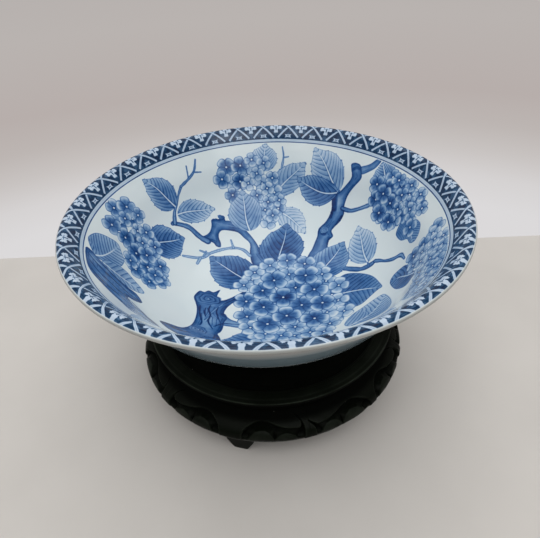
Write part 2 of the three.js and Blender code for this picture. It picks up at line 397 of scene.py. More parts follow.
def leaf(base, tip, half_width, tone, bend=0.06, veins=9, pale=0.0, teeth=6):
    b, t = to_flat(*base), to_flat(*tip)
    v = t - b
    L = float(np.hypot(*v))
    e = v / L
    mid = ((base[0] + tip[0]) / 2, (base[1] + tip[1]) / 2)
    k = scale_at(*mid)
    W = half_width / k / L
    c = (b + t) / 2
    i, dx, dy = near(c, L * (0.60 + W))
    if not len(i):
        return
    x = (dx * e[0] + dy * e[1]) / L + 0.5
    y = (-dx * e[1] + dy * e[0]) / L
    y = y - bend * 4 * x * (1 - x) - 0.012 * np.sin(7 * x)
    xc = np.clip(x, 1e-4, 1 - 1e-4)
    shape = np.sin(math.pi * xc ** 0.80) ** 0.66
    shape = shape * (1 - 0.42 * smoothstep(xc, 0.70, 0.98))
    saw = (xc * teeth + np.where(y > 0, 0.4, 0.0) + 0.12 * np.sin(xc * 19 + base[0] * 40)) % 1.0
    tooth = smoothstep(saw, 0.0, 0.80) * (1 - smoothstep(saw, 0.86, 1.0))
    n = np.abs(y)
    mm = 1 / (121.0 * k * L)               # a millimetre on the glaze, in leaf lengths
    hw = W * shape * (1 + 0.030 * (tooth - 0.5) * smoothstep(xc, 0.08, 0.25)) + 0.75 * mm * np.exp(-((saw - 0.88) / 0.055) ** 2) * smoothstep(xc, 0.10, 0.3)
    edge = hw - n
    cover = smoothstep(edge, -0.26 * mm, 0.26 * mm) * (x > 0) * (x < 1)
    over = y > 0
    lean = np.where(over, 0.50, 0.62)
    cpos = x - lean * n - 0.9 * n * n / max(W, 0.05)
    veins = veins * 0.82
    phase = (cpos * veins) % 1.0
    vein_mm = np.minimum(phase, 1 - phase) / veins / mm
    across = n / np.maximum(hw, 1e-4)
    # washes: full by the midrib, thinner to the margin and the tip
    d = tone * (1.10 - 0.20 * smoothstep(across, 0.35, 1.0) - (0.26 + 0.34 * pale) * smoothstep(xc + 0.25 * across, 0.40, 1.05))
    d = d * np.where(over, 0.93, 1.0)
    d = d * (1.0 + 0.08 * wobble(x * 1.7, y * 3, 5, 2))
    # each vein is drawn with a loaded brush and fades towards the next
    streak = (1 - phase) ** 1.7
    d = d * ((0.88 - 0.40 * pale) + (0.17 + 0.52 * pale) * streak)
    dark = min(1.0, 0.72 * tone + 0.46)
    reach = smoothstep(across, 1.04, 0.84 - 0.2 * pale)
    d = d + (dark - d) * (0.92 - 0.22 * pale) * np.exp(-(vein_mm / 0.33) ** 2) * smoothstep(n, 0.006, 0.022) * reach
    thick = mm * (0.62 - 0.42 * np.clip(x, 0, 1))
    side = np.exp(-((n - thick - 0.30 * mm) / (0.26 * mm)) ** 2) * smoothstep(x, 0.92, 0.5)
    d = d + (dark - d) * 0.62 * side
    rib = np.exp(-(n / thick) ** 4) * smoothstep(x, 0.95, 0.72)
    d = d + (0.05 - d) * 0.93 * rib
    d = d + (dark - d) * (0.82 - 0.22 * pale) * np.exp(-((edge / mm - 0.16) / 0.28) ** 2)
    tick = np.exp(-((saw - 0.90) / 0.07) ** 2) * np.exp(-((edge / mm - 0.35) / 0.65) ** 2)
    d = d + (1.0 - d) * 0.8 * tick
    lay(i, cover, np.clip(d, 0.02, 1))


def along(points, widths, samples=26):
    """A smooth line in the flat map through plan points, with its half width at each sample."""
    F = np.array([to_flat(*p) for p in points])
    S = np.array([w / scale_at(*p) for p, w in zip(points, widths)])
    both = np.concatenate([F, S[:, None]], 1)
    if len(both) == 2:
        t = np.linspace(0, 1, samples)[:, None]
        return both[0] * (1 - t) + both[1] * t
    out = []
    Q = [2 * both[0] - both[1]] + list(both) + [2 * both[-1] - both[-2]]
    per = max(4, samples // (len(both) - 1))
    for i in range(len(both) - 1):
        for j in range(per):
            t = j / per
            p0, p1, p2, p3 = Q[i], Q[i + 1], Q[i + 2], Q[i + 3]
            out.append(0.5 * (2 * p1 + (p2 - p0) * t + (2 * p0 - 5 * p1 + 4 * p2 - p3) * t * t
                              + (3 * p1 - p0 - 3 * p2 + p3) * t ** 3))
    out.append(both[-1])
    return np.array(out)


def branch(points, widths, tone, seed=1, bark=1.0, light=1.0, cut=False):
    path = along(points, widths)
    lo, hi = path[:, :2].min(0), path[:, :2].max(0)
    pad = path[:, 2].max() * 1.8
    i = np.flatnonzero((A > lo[0] - pad) & (A < hi[0] + pad) & (B > lo[1] - pad) & (B < hi[1] + pad))
    if not len(i):
        return
    a, b = A[i].astype(float), B[i].astype(float)
    best = np.full(len(i), 1e9)
    off = np.zeros(len(i))
    run = np.zeros(len(i))
    wid = np.ones(len(i))
    s0 = 0.0
    for p, q in zip(path[:-1], path[1:]):
        d = q[:2] - p[:2]
        L = max(1e-9, float(np.hypot(*d)))
        e = d / L
        t = np.clip(((a - p[0]) * e[0] + (b - p[1]) * e[1]) / L, 0, 1)
        px, py = a - (p[0] + t * d[0]), b - (p[1] + t * d[1])
        dist = np.hypot(px, py)
        m = dist < best
        best[m] = dist[m]
        sgn = np.sign(-px * e[1] + py * e[0])
        off[m] = (dist * sgn)[m]
        run[m] = (s0 + t * L)[m]
        wid[m] = (p[2] + (q[2] - p[2]) * t)[m]
        s0 += L
    k = scale_at(*points[len(points) // 2])
    mm = 1 / (121.0 * k)
    rough = 1 + 0.16 * bark * wobble(run * 9, off * 0 + seed, seed, 3)
    hw = np.maximum(wid * rough, 0.25 * mm)
    n = off / hw
    edge = hw - np.abs(off)
    if cut:                                 # sawn across at the end
        edge = np.minimum(edge, s0 - run - 0.25 * mm)
    cover = smoothstep(edge, -0.26 * mm, 0.26 * mm)
    grain = np.sin((n * 5.5 + 1.2 * wobble(run * 5, n * 0.4, seed + 3, 2)) * 2.2)
    lit = np.exp(-((n - 0.12) / 0.42) ** 2) * (0.75 + 0.5 * wobble(run * 3.1, n * 0.2, seed + 7, 2))
    d = tone * (0.92 + 0.10 * grain * bark - 0.36 * light * np.clip(lit, 0, 1.2) + 0.14 * smoothstep(np.abs(n), 0.45, 1))
    # a few long strokes of bark
    stroke_at = (n * 2.1 + 0.8 * wobble(run * 2.3, n * 0.15, seed + 5, 2)) % 1.0
    there = smoothstep(wobble(run * 6 + 3, n * 0.6, seed + 11, 2), 0.05, 0.35)
    d = d + (min(1.0, tone + 0.22) - d) * 0.75 * bark * there * np.exp(-((stroke_at - 0.5) / 0.07) ** 2)
    line = np.exp(-((edge / mm - 0.22) / 0.32) ** 2)
    d = d + (min(1.0, tone + 0.28) - d) * 0.88 * line
    lay(i, cover, np.clip(d, 0.05, 1))


def mass(outline, tone, seed=1, smooth=True, light=(0.0, 0.0), light_size=0.1):
    """A filled outline, shaded darker to its edges, with long bark strokes."""
    P = [to_flat(*p) for p in outline]
    if smooth:
        out = []
        n = len(P)
        for i in range(n):
            p0, p1, p2, p3 = P[i - 1], P[i], P[(i + 1) % n], P[(i + 2) % n]
            for t in (0.0, 0.33, 0.66):
                out.append(0.5 * (2 * p1 + (p2 - p0) * t + (2 * p0 - 5 * p1 + 4 * p2 - p3) * t * t + (3 * p1 - p0 - 3 * p2 + p3) * t ** 3))
        P = out
    F = np.array(P)
    lo, hi = F.min(0), F.max(0)
    i = np.flatnonzero((A > lo[0] - 0.03) & (A < hi[0] + 0.03) & (B > lo[1] - 0.03) & (B < hi[1] + 0.03))
    a, b = A[i].astype(float), B[i].astype(float)
    d_in = depth_in(a, b, [tuple(p) for p in F])
    mid = outline[len(outline) // 2]
    mm = 1 / (121.0 * scale_at(*mid))
    cover = smoothstep(d_in, -0.26 * mm, 0.26 * mm)
    deep = d_in / mm
    lc = to_flat(*light)
    lit = np.exp(-((a - lc[0]) ** 2 + (b - lc[1]) ** 2) / light_size ** 2)
    flow = (deep / 2.6 + 0.9 * wobble(a * 2.2, b * 2.2, seed, 2)) % 1.0
    there = smoothstep(wobble(a * 4 + 2, b * 4, seed + 4, 2), -0.15, 0.25)
    d = tone * (1.05 - 0.30 * smoothstep(deep, 0.6, 4.5) - 0.26 * lit + 0.09 * wobble(a * 5, b * 5, seed + 2, 3))
    d = d + (min(1.0, tone + 0.22) - d) * 0.72 * there * np.exp(-((flow - 0.5) / 0.085) ** 2) * smoothstep(deep, 0.7, 1.4)
    line = np.exp(-((deep - 0.30) / 0.42) ** 2)
    d = d + (min(1.0, tone + 0.30) - d) * 0.92 * line
    lay(i, cover, np.clip(d, 0.05, 1))


def smooth_outline(outline):
    P = [to_flat(*p) for p in outline]
    out = []
    n = len(P)
    for i in range(n):
        p0, p1, p2, p3 = P[i - 1], P[i], P[(i + 1) % n], P[(i + 2) % n]
        for t in (0.0, 0.33, 0.66):
            out.append(0.5 * (2 * p1 + (p2 - p0) * t + (2 * p0 - 5 * p1 + 4 * p2 - p3) * t * t + (3 * p1 - p0 - 3 * p2 + p3) * t ** 3))
    return np.array(out)


def blade(outline, rib, tone, veins=8, pale=0.2, lean=0.75):
    """A leaf with a free outline; its veins leave the rib in curves towards the tip."""
    F = smooth_outline(outline)
    lo, hi = F.min(0), F.max(0)
    i = np.flatnonzero((A > lo[0] - 0.02) & (A < hi[0] + 0.02) & (B > lo[1] - 0.02) & (B < hi[1] + 0.02))
    a, b = A[i].astype(float), B[i].astype(float)
    path = along(rib, [0.01] * len(rib))
    mm = 1 / (121.0 * scale_at(*rib[len(rib) // 2]))
    deep = depth_in(a, b, [tuple(p) for p in F]) / mm
    best = np.full(len(i), 1e9)
    run = np.zeros(len(i))
    s0 = 0.0
    last = len(path) - 2
    for n, (p, q) in enumerate(zip(path[:-1], path[1:])):
        v = q[:2] - p[:2]
        L = max(1e-9, float(np.hypot(*v)))
        e = v / L
        t = ((a - p[0]) * e[0] + (b - p[1]) * e[1]) / L
        tc = np.clip(t, -9.0 if n == 0 else 0, 9.0 if n == last else 1)
        dist = np.hypot(a - p[0] - tc * v[0], b - p[1] - tc * v[1])
        m = dist < best
        best[m] = dist[m]
        run[m] = (s0 + tc * L)[m]
        s0 += L
    x = run / s0
    off = best / s0
    pos = x - lean * off - 0.5 * off * off
    phase = (pos * veins) % 1.0
    vein_mm = np.minimum(phase, 1 - phase) / veins * s0 / mm * 0.85
    d = tone * (1.08 - (0.22 + 0.30 * pale) * smoothstep(x, 0.35, 1.05) - 0.16 * smoothstep(deep, 2.2, 0.4))
    d = d * ((0.88 - 0.40 * pale) + (0.17 + 0.52 * pale) * (1 - phase) ** 1.7)
    dark = min(1.0, 0.72 * tone + 0.46)
    d = d + (dark - d) * (0.90 - 0.20 * pale) * np.exp(-(vein_mm / 0.34) ** 2) * smoothstep(best / mm, 0.3, 0.8)
    thick = 0.62 - 0.40 * np.clip(x, 0, 1)
    d = d + (0.05 - d) * 0.93 * np.exp(-(best / mm / thick) ** 4) * smoothstep(x, 0.95, 0.75) * smoothstep(x, -0.12, 0.0)
    d = d + (dark - d) * (0.85 - 0.2 * pale) * np.exp(-((deep - 0.18) / 0.30) ** 2)
    lay(i, smoothstep(deep, -0.26, 0.26), np.clip(d, 0.02, 1))


def tint(points, widths, density, seed=5):
    """A soft extra wash laid along a line."""
    path = along(points, widths)
    lo, hi = path[:, :2].min(0), path[:, :2].max(0)
    pad = path[:, 2].max() * 2.2
    i = np.flatnonzero((A > lo[0] - pad) & (A < hi[0] + pad) & (B > lo[1] - pad) & (B < hi[1] + pad))
    a, b = A[i].astype(float), B[i].astype(float)
    g = np.full(len(i), 1e9)
    for p in path:
        g = np.minimum(g, np.hypot(a - p[0], b - p[1]) / p[2])
    had = pigment[i] > 0.12
    lay(i, 0.85 * (1 - smoothstep(g, 0.45, 1.25)) * had, density)


def swirl(x, y, size, tone, squash=0.8, seed=2):
    """A knot in the bark: rings round a hollow."""
    c = to_flat(x, y)
    s = size / scale_at(x, y)
    i, dx, dy = near(c, 1.5 * s)
    dx, dy = dx / s, dy / s / squash
    q = np.hypot(dx, dy)
    a = np.arctan2(dy, dx)
    rim = 1.0 + 0.08 * np.sin(3 * a + seed) + 0.05 * np.sin(7 * a + 2 * seed)
    g = q / rim
    cover = 1 - smoothstep(g, 0.88, 1.05)
    turn = (g * 2.9 + a / 6.283) % 1.0
    d = tone * (0.86 + 0.08 * np.sin(a + 1.0)) + 0.24 * np.exp(-((turn - 0.5) / 0.13) ** 2)
    d = d - 0.12 * np.exp(-((turn - 0.10) / 0.16) ** 2)
    d = d + (0.34 - d) * (1 - smoothstep(g, 0.04, 0.12))
    d = d + (1.0 - d) * 0.35 * np.exp(-((g - 0.94) / 0.06) ** 2) * (0.55 + 0.45 * np.sin(a + seed))
    lay(i, cover, np.clip(d, 0.1, 1))


def ground_wash(x, y, rx, ry, density, turn=0.0):
    c = to_flat(x, y)
    k = scale_at(x, y)
    i, dx, dy = near(c, 1.6 * max(rx, ry) / k)
    u = (dx * math.cos(turn) + dy * math.sin(turn)) * k / rx
    w = (-dx * math.sin(turn) + dy * math.cos(turn)) * k / ry
    q = np.hypot(u, w) + 0.12 * wobble(dx * 9, dy * 9, 4, 2)
    lay(i, 0.9 * (1 - smoothstep(q, 0.80, 1.02)), density)


def cluster(florets, size, under=(), under_size=None, under_tone=0.42):
    for x, y in under:
        floret(x, y, (under_size or size) * rng.uniform(0.88, 1.0), under_tone * rng.uniform(0.7, 1.2))
    for x, y, tone in florets:
        big = 0.79 + 0.23 * smoothstep(tone, 0.45, 0.76)
        tone = tone if tone < 0.6 else 0.6 + 0.42 * (tone - 0.6)
        floret(x, y, size * big * rng.uniform(0.95, 1.05), tone, petals=4 if rng.uniform() < 0.9 else 5)


# -- boughs behind the leaves
mass([(-0.350, 0.539), (-0.320, 0.555), (-0.306, 0.555), (-0.282, 0.580), (-0.270, 0.574), (-0.262, 0.558), (-0.243, 0.561),
      (-0.185, 0.557), (-0.147, 0.528), (-0.108, 0.493), (-0.065, 0.428), (-0.036, 0.349), (0.000, 0.260), (-0.090, 0.255), (-0.112, 0.351), (-0.110, 0.429),
      (-0.149, 0.471), (-0.187, 0.501), (-0.245, 0.504), (-0.284, 0.497), (-0.304, 0.475), (-0.306, 0.445), (-0.294, 0.413),
      (-0.296, 0.384), (-0.322, 0.385), (-0.337, 0.402), (-0.360, 0.406), (-0.387, 0.392), (-0.406, 0.395), (-0.397, 0.428),
      (-0.379, 0.444), (-0.360, 0.469), (-0.350, 0.508)], 0.76, seed=3, light=(-0.10, 0.43), light_size=0.09)
tint([(-0.340, 0.548), (-0.300, 0.562), (-0.274, 0.572)], [0.020, 0.020, 0.016], 0.96)
branch([(-0.374, 0.404), (-0.421, 0.416), (-0.486, 0.445), (-0.561, 0.423), (-0.574, 0.412)], [0.024, 0.017, 0.015, 0.014, 0.012], 0.74, seed=5)
branch([(-0.561, 0.423), (-0.563, 0.473), (-0.554, 0.511), (-0.537, 0.566), (-0.520, 0.607)], [0.014, 0.011, 0.009, 0.008, 0.008], 0.66, seed=6)
branch([(-0.520, 0.607), (-0.468, 0.667), (-0.439, 0.710), (-0.430, 0.761)], [0.009, 0.008, 0.007, 0.005], 0.62, seed=7)
branch([(-0.476, 0.663), (-0.485, 0.710)], [0.005, 0.004], 0.56, seed=8)
branch([(-0.445, 0.699), (-0.398, 0.718)], [0.005, 0.004], 0.56, seed=9)
branch([(-0.112, 0.337), (-0.154, 0.382), (-0.215, 0.392), (-0.289, 0.368), (-0.358, 0.325), (-0.407, 0.277), (-0.510, 0.246)],
       [0.013, 0.012, 0.011, 0.011, 0.010, 0.010, 0.009], 0.40, seed=10, light=0.6)
branch([(-0.368, 0.321), (-0.417, 0.325)], [0.008, 0.006], 0.38, seed=11)
branch([(-0.215, 0.392), (-0.231, 0.446)], [0.009, 0.006], 0.38, seed=12)
branch([(-0.414, 0.273), (-0.430, 0.225)], [0.009, 0.009], 0.40, seed=13)
branch([(-0.395, 0.296), (-0.382, 0.334)], [0.007, 0.005], 0.38, seed=14)
mass([(0.605, 0.593), (0.616, 0.589), (0.657, 0.570), (0.696, 0.565), (0.716, 0.540), (0.684, 0.530), (0.653, 0.537), (0.608, 0.555), (0.591, 0.578)],
     0.60, seed=18)
mass([(0.227, 0.225), (0.257, 0.304), (0.276, 0.330), (0.303, 0.382), (0.321, 0.415), (0.327, 0.443), (0.340, 0.462), (0.386, 0.484),
      (0.422, 0.526), (0.429, 0.571), (0.433, 0.599), (0.470, 0.582), (0.517, 0.581), (0.551, 0.589), (0.551, 0.637), (0.566, 0.638),
      (0.587, 0.624), (0.605, 0.598), (0.605, 0.561), (0.599, 0.542), (0.555, 0.543), (0.521, 0.535), (0.497, 0.502), (0.493, 0.467),
      (0.464, 0.440), (0.432, 0.428), (0.409, 0.410), (0.415, 0.373), (0.386, 0.357), (0.367, 0.298), (0.328, 0.200)],
     0.70, seed=15, light=(0.470, 0.540), light_size=0.07)
tint([(0.447, 0.585), (0.442, 0.555), (0.440, 0.520)], [0.024, 0.022, 0.016], 0.95)
tint([(0.424, 0.560), (0.420, 0.520), (0.414, 0.492)], [0.014, 0.016, 0.012], 0.97)
tint([(0.425, 0.420), (0.455, 0.440), (0.478, 0.462)], [0.010, 0.013, 0.009], 0.95)
tint([(0.375, 0.330), (0.392, 0.368), (0.372, 0.300)], [0.010, 0.014, 0.008], 0.93)
tint([(0.352, 0.420), (0.366, 0.412), (0.376, 0.425)], [0.012, 0.014, 0.008], 0.93)
tint([(0.552, 0.612), (0.580, 0.606), (0.596, 0.590)], [0.010, 0.012, 0.008], 0.90)
branch([(0.486, 0.500), (0.526, 0.462), (0.561, 0.442), (0.628, 0.407)], [0.014, 0.013, 0.013, 0.012], 0.74, seed=19)
swirl(0.368, 0.438, 0.028, 0.62, 0.9, 3)
swirl(0.462, 0.593, 0.026, 0.80, 0.55, 5)
swirl(-0.290, 0.571, 0.024, 0.86, 0.6, 7)
branch([(0.446, 0.113), (0.495, 0.075), (0.530, 0.049), (0.575, 0.041), (0.609, 0.049)], [0.016, 0.016, 0.017, 0.016, 0.012], 0.74, seed=20)
branch([(0.606, 0.049), (0.629, 0.026), (0.649, -0.001), (0.682, -0.032), (0.715, -0.052), (0.720, -0.101)],
       [0.012, 0.012, 0.011, 0.012, 0.013, 0.007], 0.76, seed=21)
branch([(0.570, 0.041), (0.572, 0.080)], [0.006, 0.005], 0.6, seed=22)
branch([(0.118, 0.780), (0.139, 0.826), (0.135, 0.868)], [0.008, 0.006, 0.004], 0.42, seed=23)
branch([(0.139, 0.823), (0.171, 0.821)], [0.005, 0.004], 0.40, seed=24)

# -- weathered stump at the lower left
mass([(-0.285, -0.170), (-0.250, -0.178), (-0.238, -0.202), (-0.215, -0.226), (-0.176, -0.244), (-0.132, -0.255), (-0.085, -0.274),
      (-0.126, -0.290), (-0.174, -0.297), (-0.218, -0.289), (-0.258, -0.283), (-0.290, -0.270)], 0.66, seed=33, light=(-0.20, -0.26), light_size=0.07)
mass([(-0.428, -0.056), (-0.417, -0.018), (-0.399, 0.008), (-0.375, 0.001), (-0.352, 0.020), (-0.324, 0.008), (-0.288, 0.034), (-0.303, -0.025),
      (-0.277, -0.059), (-0.232, -0.037), (-0.179, 0.005), (-0.140, 0.030), (-0.142, -0.030), (-0.200, -0.066), (-0.238, -0.112), (-0.257, -0.170),
      (-0.238, -0.215), (-0.252, -0.254), (-0.254, -0.300), (-0.263, -0.346), (-0.277, -0.371), (-0.262, -0.410), (-0.256, -0.475),
      (-0.336, -0.510), (-0.422, -0.505), (-0.470, -0.480), (-0.501, -0.459), (-0.539, -0.410), (-0.497, -0.393),
      (-0.450, -0.388), (-0.418, -0.345), (-0.404, -0.285), (-0.400, -0.220), (-0.403, -0.151), (-0.415, -0.101)],
     0.82, seed=31, light=(-0.33, -0.24), light_size=0.07)
for line, widths, tone, seed in (([(-0.354, -0.246), (-0.318, -0.165), (-0.272, -0.098), (-0.215, -0.050)], [0.004, 0.008, 0.008, 0.004], 0.50, 40),
                                 ([(-0.385, -0.330), (-0.372, -0.260), (-0.376, -0.190)], [0.003, 0.007, 0.003], 0.60, 46),
                                 ([(-0.388, -0.124), (-0.384, -0.192), (-0.366, -0.270), (-0.372, -0.310)], [0.002, 0.004, 0.004, 0.002], 0.96, 36),
                                 ([(-0.334, -0.109), (-0.340, -0.150), (-0.328, -0.200), (-0.334, -0.258), (-0.306, -0.326)], [0.002, 0.005, 0.004, 0.005, 0.002], 0.97, 38),
                                 ([(-0.290, -0.117), (-0.298, -0.160), (-0.288, -0.205), (-0.272, -0.259)], [0.002, 0.004, 0.004, 0.002], 0.95, 37),
                                 ([(-0.358, -0.137), (-0.360, -0.176), (-0.352, -0.216)], [0.002, 0.005, 0.002], 0.94, 39),
                                 ([(-0.266, -0.092), (-0.228, -0.062), (-0.172, -0.022)], [0.002, 0.004, 0.003], 0.95, 34),
                                 ([(-0.303, -0.300), (-0.270, -0.272), (-0.240, -0.262), (-0.160, -0.268)], [0.002, 0.004, 0.003, 0.002], 0.93, 35),
                                 ([(-0.310, -0.480), (-0.292, -0.430), (-0.290, -0.380)], [0.002, 0.005, 0.002], 0.95, 42),
                                 ([(-0.500, -0.430), (-0.450, -0.430), (-0.405, -0.415)], [0.003, 0.005, 0.003], 0.95, 43)):
    branch(line, widths, tone, seed=seed, bark=0.2, light=0.0)
tint([(-0.535, -0.405), (-0.500, -0.405), (-0.455, -0.420)], [0.016, 0.020, 0.024], 0.96)
swirl(-0.349, -0.054, 0.074, 0.80, 0.72, 9)
swirl(-0.372, -0.357, 0.050, 0.76, 0.84, 4)

# -- upper left sprig
leaf((-0.556, 0.507), (-0.722, 0.506), 0.092, 0.62, bend=-0.04, veins=10, pale=0.35)
leaf((-0.547, 0.477), (-0.324, 0.605), 0.078, 0.52, bend=0.05, veins=10, pale=0.75)

# -- top cluster, with its leaves
leaf((-0.000, 0.789), (0.028, 0.894), 0.088, 0.42, bend=0.03, veins=9, pale=0.6)
leaf((0.076, 0.706), (0.283, 0.772), 0.086, 0.46, bend=0.05, veins=9, pale=0.35)
leaf((0.081, 0.622), (0.251, 0.457), 0.080, 0.30, bend=0.08, veins=9, pale=0.8)
leaf((0.465, 0.587), (0.342, 0.815), 0.108, 0.50, bend=-0.04, veins=11, pale=0.65)
leaf((0.462, 0.587), (0.220, 0.742), 0.092, 0.68, bend=0.10, veins=10, pale=0.15)
cluster([(-0.239, 0.781, 0.74), (-0.148, 0.801, 0.72), (-0.271, 0.734, 0.62), (-0.155, 0.750, 0.95), (-0.209, 0.692, 0.60),
         (-0.072, 0.828, 0.42), (0.006, 0.816, 0.36), (-0.043, 0.783, 0.40), (-0.102, 0.750, 0.32), (0.058, 0.766, 0.46),
         (-0.049, 0.706, 0.46), (0.022, 0.675, 0.44), (0.096, 0.676, 0.38), (0.047, 0.604, 0.48), (0.020, 0.733, 0.34)],
        0.064, under=[(-0.193, 0.734), (-0.116, 0.797), (-0.010, 0.752), (0.067, 0.713), (-0.078, 0.675), (-0.001, 0.636), (0.086, 0.636), (0.018, 0.570)],
        under_tone=0.44)
leaf((-0.107, 0.517), (-0.143, 0.722), 0.112, 0.50, bend=0.03, veins=10, pale=0.25)

# -- right upper cluster
leaf((0.727, 0.416), (0.719, 0.530), 0.072, 0.56, bend=0.03, veins=8, pale=0.35)
blade([(0.729, 0.123), (0.756, 0.145), (0.789, 0.114), (0.813, 0.014), (0.797, -0.042), (0.775, -0.061), (0.759, -0.035), (0.757, 0.011), (0.737, 0.040), (0.726, 0.089)],
      [(0.785, 0.090), (0.775, 0.030), (0.768, -0.040)], 0.58, veins=7, pale=0.25)
leaf((0.572, 0.073), (0.562, 0.348), 0.094, 0.44, bend=0.03, veins=10, pale=0.8)
cluster([(0.678, 0.449, 0.74), (0.731, 0.372, 0.86), (0.781, 0.362, 0.58), (0.828, 0.272, 0.50), (0.666, 0.394, 0.92),
         (0.727, 0.301, 0.74), (0.780, 0.272, 0.52), (0.851, 0.174, 0.44), (0.801, 0.190, 0.46), (0.673, 0.321, 0.80),
         (0.707, 0.224, 0.76), (0.796, 0.152, 0.50), (0.837, 0.083, 0.46), (0.789, 0.099, 0.48), (0.753, 0.229, 0.50),
         (0.702, 0.379, 0.74), (0.779, 0.055, 0.62)],
        0.062, under=[(0.704, 0.419), (0.757, 0.407), (0.692, 0.274), (0.745, 0.321), (0.788, 0.320), (0.810, 0.232), (0.755, 0.180), (0.833, 0.125), (0.733, 0.198), (0.821, 0.173)],
        under_tone=0.55)

# -- right lower cluster
blade([(0.711, -0.161), (0.717, -0.204), (0.711, -0.268), (0.712, -0.317), (0.685, -0.339), (0.657, -0.356), (0.631, -0.307), (0.626, -0.239),
       (0.631, -0.194), (0.654, -0.162), (0.685, -0.152)],
      [(0.705, -0.300), (0.690, -0.263), (0.672, -0.223), (0.644, -0.200)], 0.70, veins=6, pale=0.1)
leaf((0.690, -0.460), (0.560, -0.640), 0.080, 0.56, bend=-0.05, veins=10, pale=0.3)
cluster([(0.848, -0.128, 0.56), (0.827, -0.150, 0.42), (0.843, -0.235, 0.40), (0.800, -0.250, 0.38), (0.785, -0.160, 0.58), (0.746, -0.158, 0.60),
         (0.816, -0.300, 0.46), (0.767, -0.205, 0.40), (0.818, -0.205, 0.38), (0.785, -0.320, 0.40), (0.759, -0.334, 0.46), (0.743, -0.272, 0.42),
         (0.724, -0.230, 0.44), (0.768, -0.387, 0.48), (0.725, -0.397, 0.44), (0.705, -0.370, 0.50), (0.737, -0.430, 0.42), (0.684, -0.416, 0.50),
         (0.698, -0.470, 0.46), (0.656, -0.490, 0.56), (0.744, -0.480, 0.44), (0.704, -0.545, 0.50), (0.655, -0.585, 0.46), (0.610, -0.635, 0.5)],
        0.066, under=[(0.801, -0.189), (0.758, -0.225), (0.817, -0.253), (0.779, -0.290), (0.759, -0.300), (0.728, -0.330), (0.790, -0.360), (0.740, -0.360),
                      (0.700, -0.440), (0.740, -0.510), (0.670, -0.450), (0.700, -0.500), (0.650, -0.540), (0.766, -0.440)],
        under_tone=0.36)

# -- left cluster
leaf((-0.676, 0.203), (-0.506, 0.369), 0.115, 0.72, bend=0.02, veins=10, pale=0.1)
blade([(-0.882, -0.104), (-0.878, -0.063), (-0.866, -0.028), (-0.845, -0.006), (-0.823, 0.007), (-0.801, 0.021), (-0.788, 0.017), (-0.778, -0.004),
       (-0.760, -0.043), (-0.757, -0.090), (-0.761, -0.130), (-0.776, -0.144), (-0.788, -0.174), (-0.800, -0.209), (-0.821, -0.216), (-0.832, -0.209),
       (-0.851, -0.180), (-0.870, -0.144)],
      [(-0.831, -0.206), (-0.815, -0.173), (-0.805, -0.117), (-0.798, -0.057), (-0.793, -0.017)], 0.56, veins=8, pale=0.45)
cluster([(-0.834, 0.223, 0.66), (-0.785, 0.289, 0.70), (-0.736, 0.300, 0.56), (-0.786, 0.214, 0.52), (-0.828, 0.107, 0.74),
         (-0.734, 0.217, 0.42), (-0.775, 0.107, 0.94), (-0.699, 0.254, 0.52), (-0.710, 0.173, 0.44), (-0.728, 0.074, 0.92),
         (-0.654, 0.205, 0.52), (-0.671, 0.033, 0.86), (-0.714, -0.042, 0.66), (-0.618, 0.092, 0.60), (-0.649, -0.072, 0.62),
         (-0.602, -0.019, 0.66), (-0.741, -0.008, 0.56), (-0.685, 0.114, 0.64), (-0.632, 0.005, 0.62)],
        0.066, under=[(-0.801, 0.253), (-0.757, 0.253), (-0.801, 0.160), (-0.747, 0.141), (-0.685, 0.218), (-0.667, 0.159), (-0.707, 0.121), (-0.688, 0.072), (-0.629, 0.043), (-0.680, -0.016), (-0.729, 0.023), (-0.610, 0.023), (-0.651, -0.026)],
        under_tone=0.60)

# -- foliage on the near left, under the rim
mass([(-0.869, -0.198), (-0.850, -0.189), (-0.820, -0.215), (-0.783, -0.232), (-0.742, -0.236), (-0.709, -0.250), (-0.671, -0.253), (-0.635, -0.306),
      (-0.654, -0.339), (-0.676, -0.359), (-0.655, -0.400), (-0.621, -0.418), (-0.576, -0.448), (-0.512, -0.513), (-0.475, -0.640), (-0.568, -0.608),
      (-0.641, -0.533), (-0.690, -0.487), (-0.742, -0.436), (-0.792, -0.385), (-0.830, -0.321)], 0.80, seed=51, light=(-0.80, -0.25), light_size=0.05)
for line, widths, tone, seed in (([(-0.854, -0.224), (-0.815, -0.262), (-0.761, -0.300), (-0.718, -0.305), (-0.645, -0.308)], [0.002, 0.005, 0.006, 0.005, 0.002], 0.98, 52),
                                 ([(-0.835, -0.276), (-0.777, -0.338), (-0.711, -0.376), (-0.660, -0.385), (-0.592, -0.435), (-0.520, -0.530)], [0.002, 0.005, 0.006, 0.005, 0.005, 0.002], 0.98, 53),
                                 ([(-0.818, -0.237), (-0.767, -0.258), (-0.719, -0.265), (-0.672, -0.275)], [0.002, 0.004, 0.004, 0.002], 0.96, 54),
                                 ([(-0.825, -0.323), (-0.771, -0.384), (-0.702, -0.434), (-0.646, -0.465), (-0.560, -0.560)], [0.002, 0.005, 0.006, 0.005, 0.002], 0.98, 55),
                                 ([(-0.841, -0.240), (-0.789, -0.291), (-0.735, -0.330), (-0.690, -0.345)], [0.002, 0.004, 0.004, 0.002], 0.50, 56),
                                 ([(-0.780, -0.360), (-0.722, -0.408), (-0.668, -0.430), (-0.610, -0.470)], [0.002, 0.004, 0.004, 0.002], 0.52, 57)):
    branch(line, widths, tone, seed=seed, bark=0.2, light=0.0)
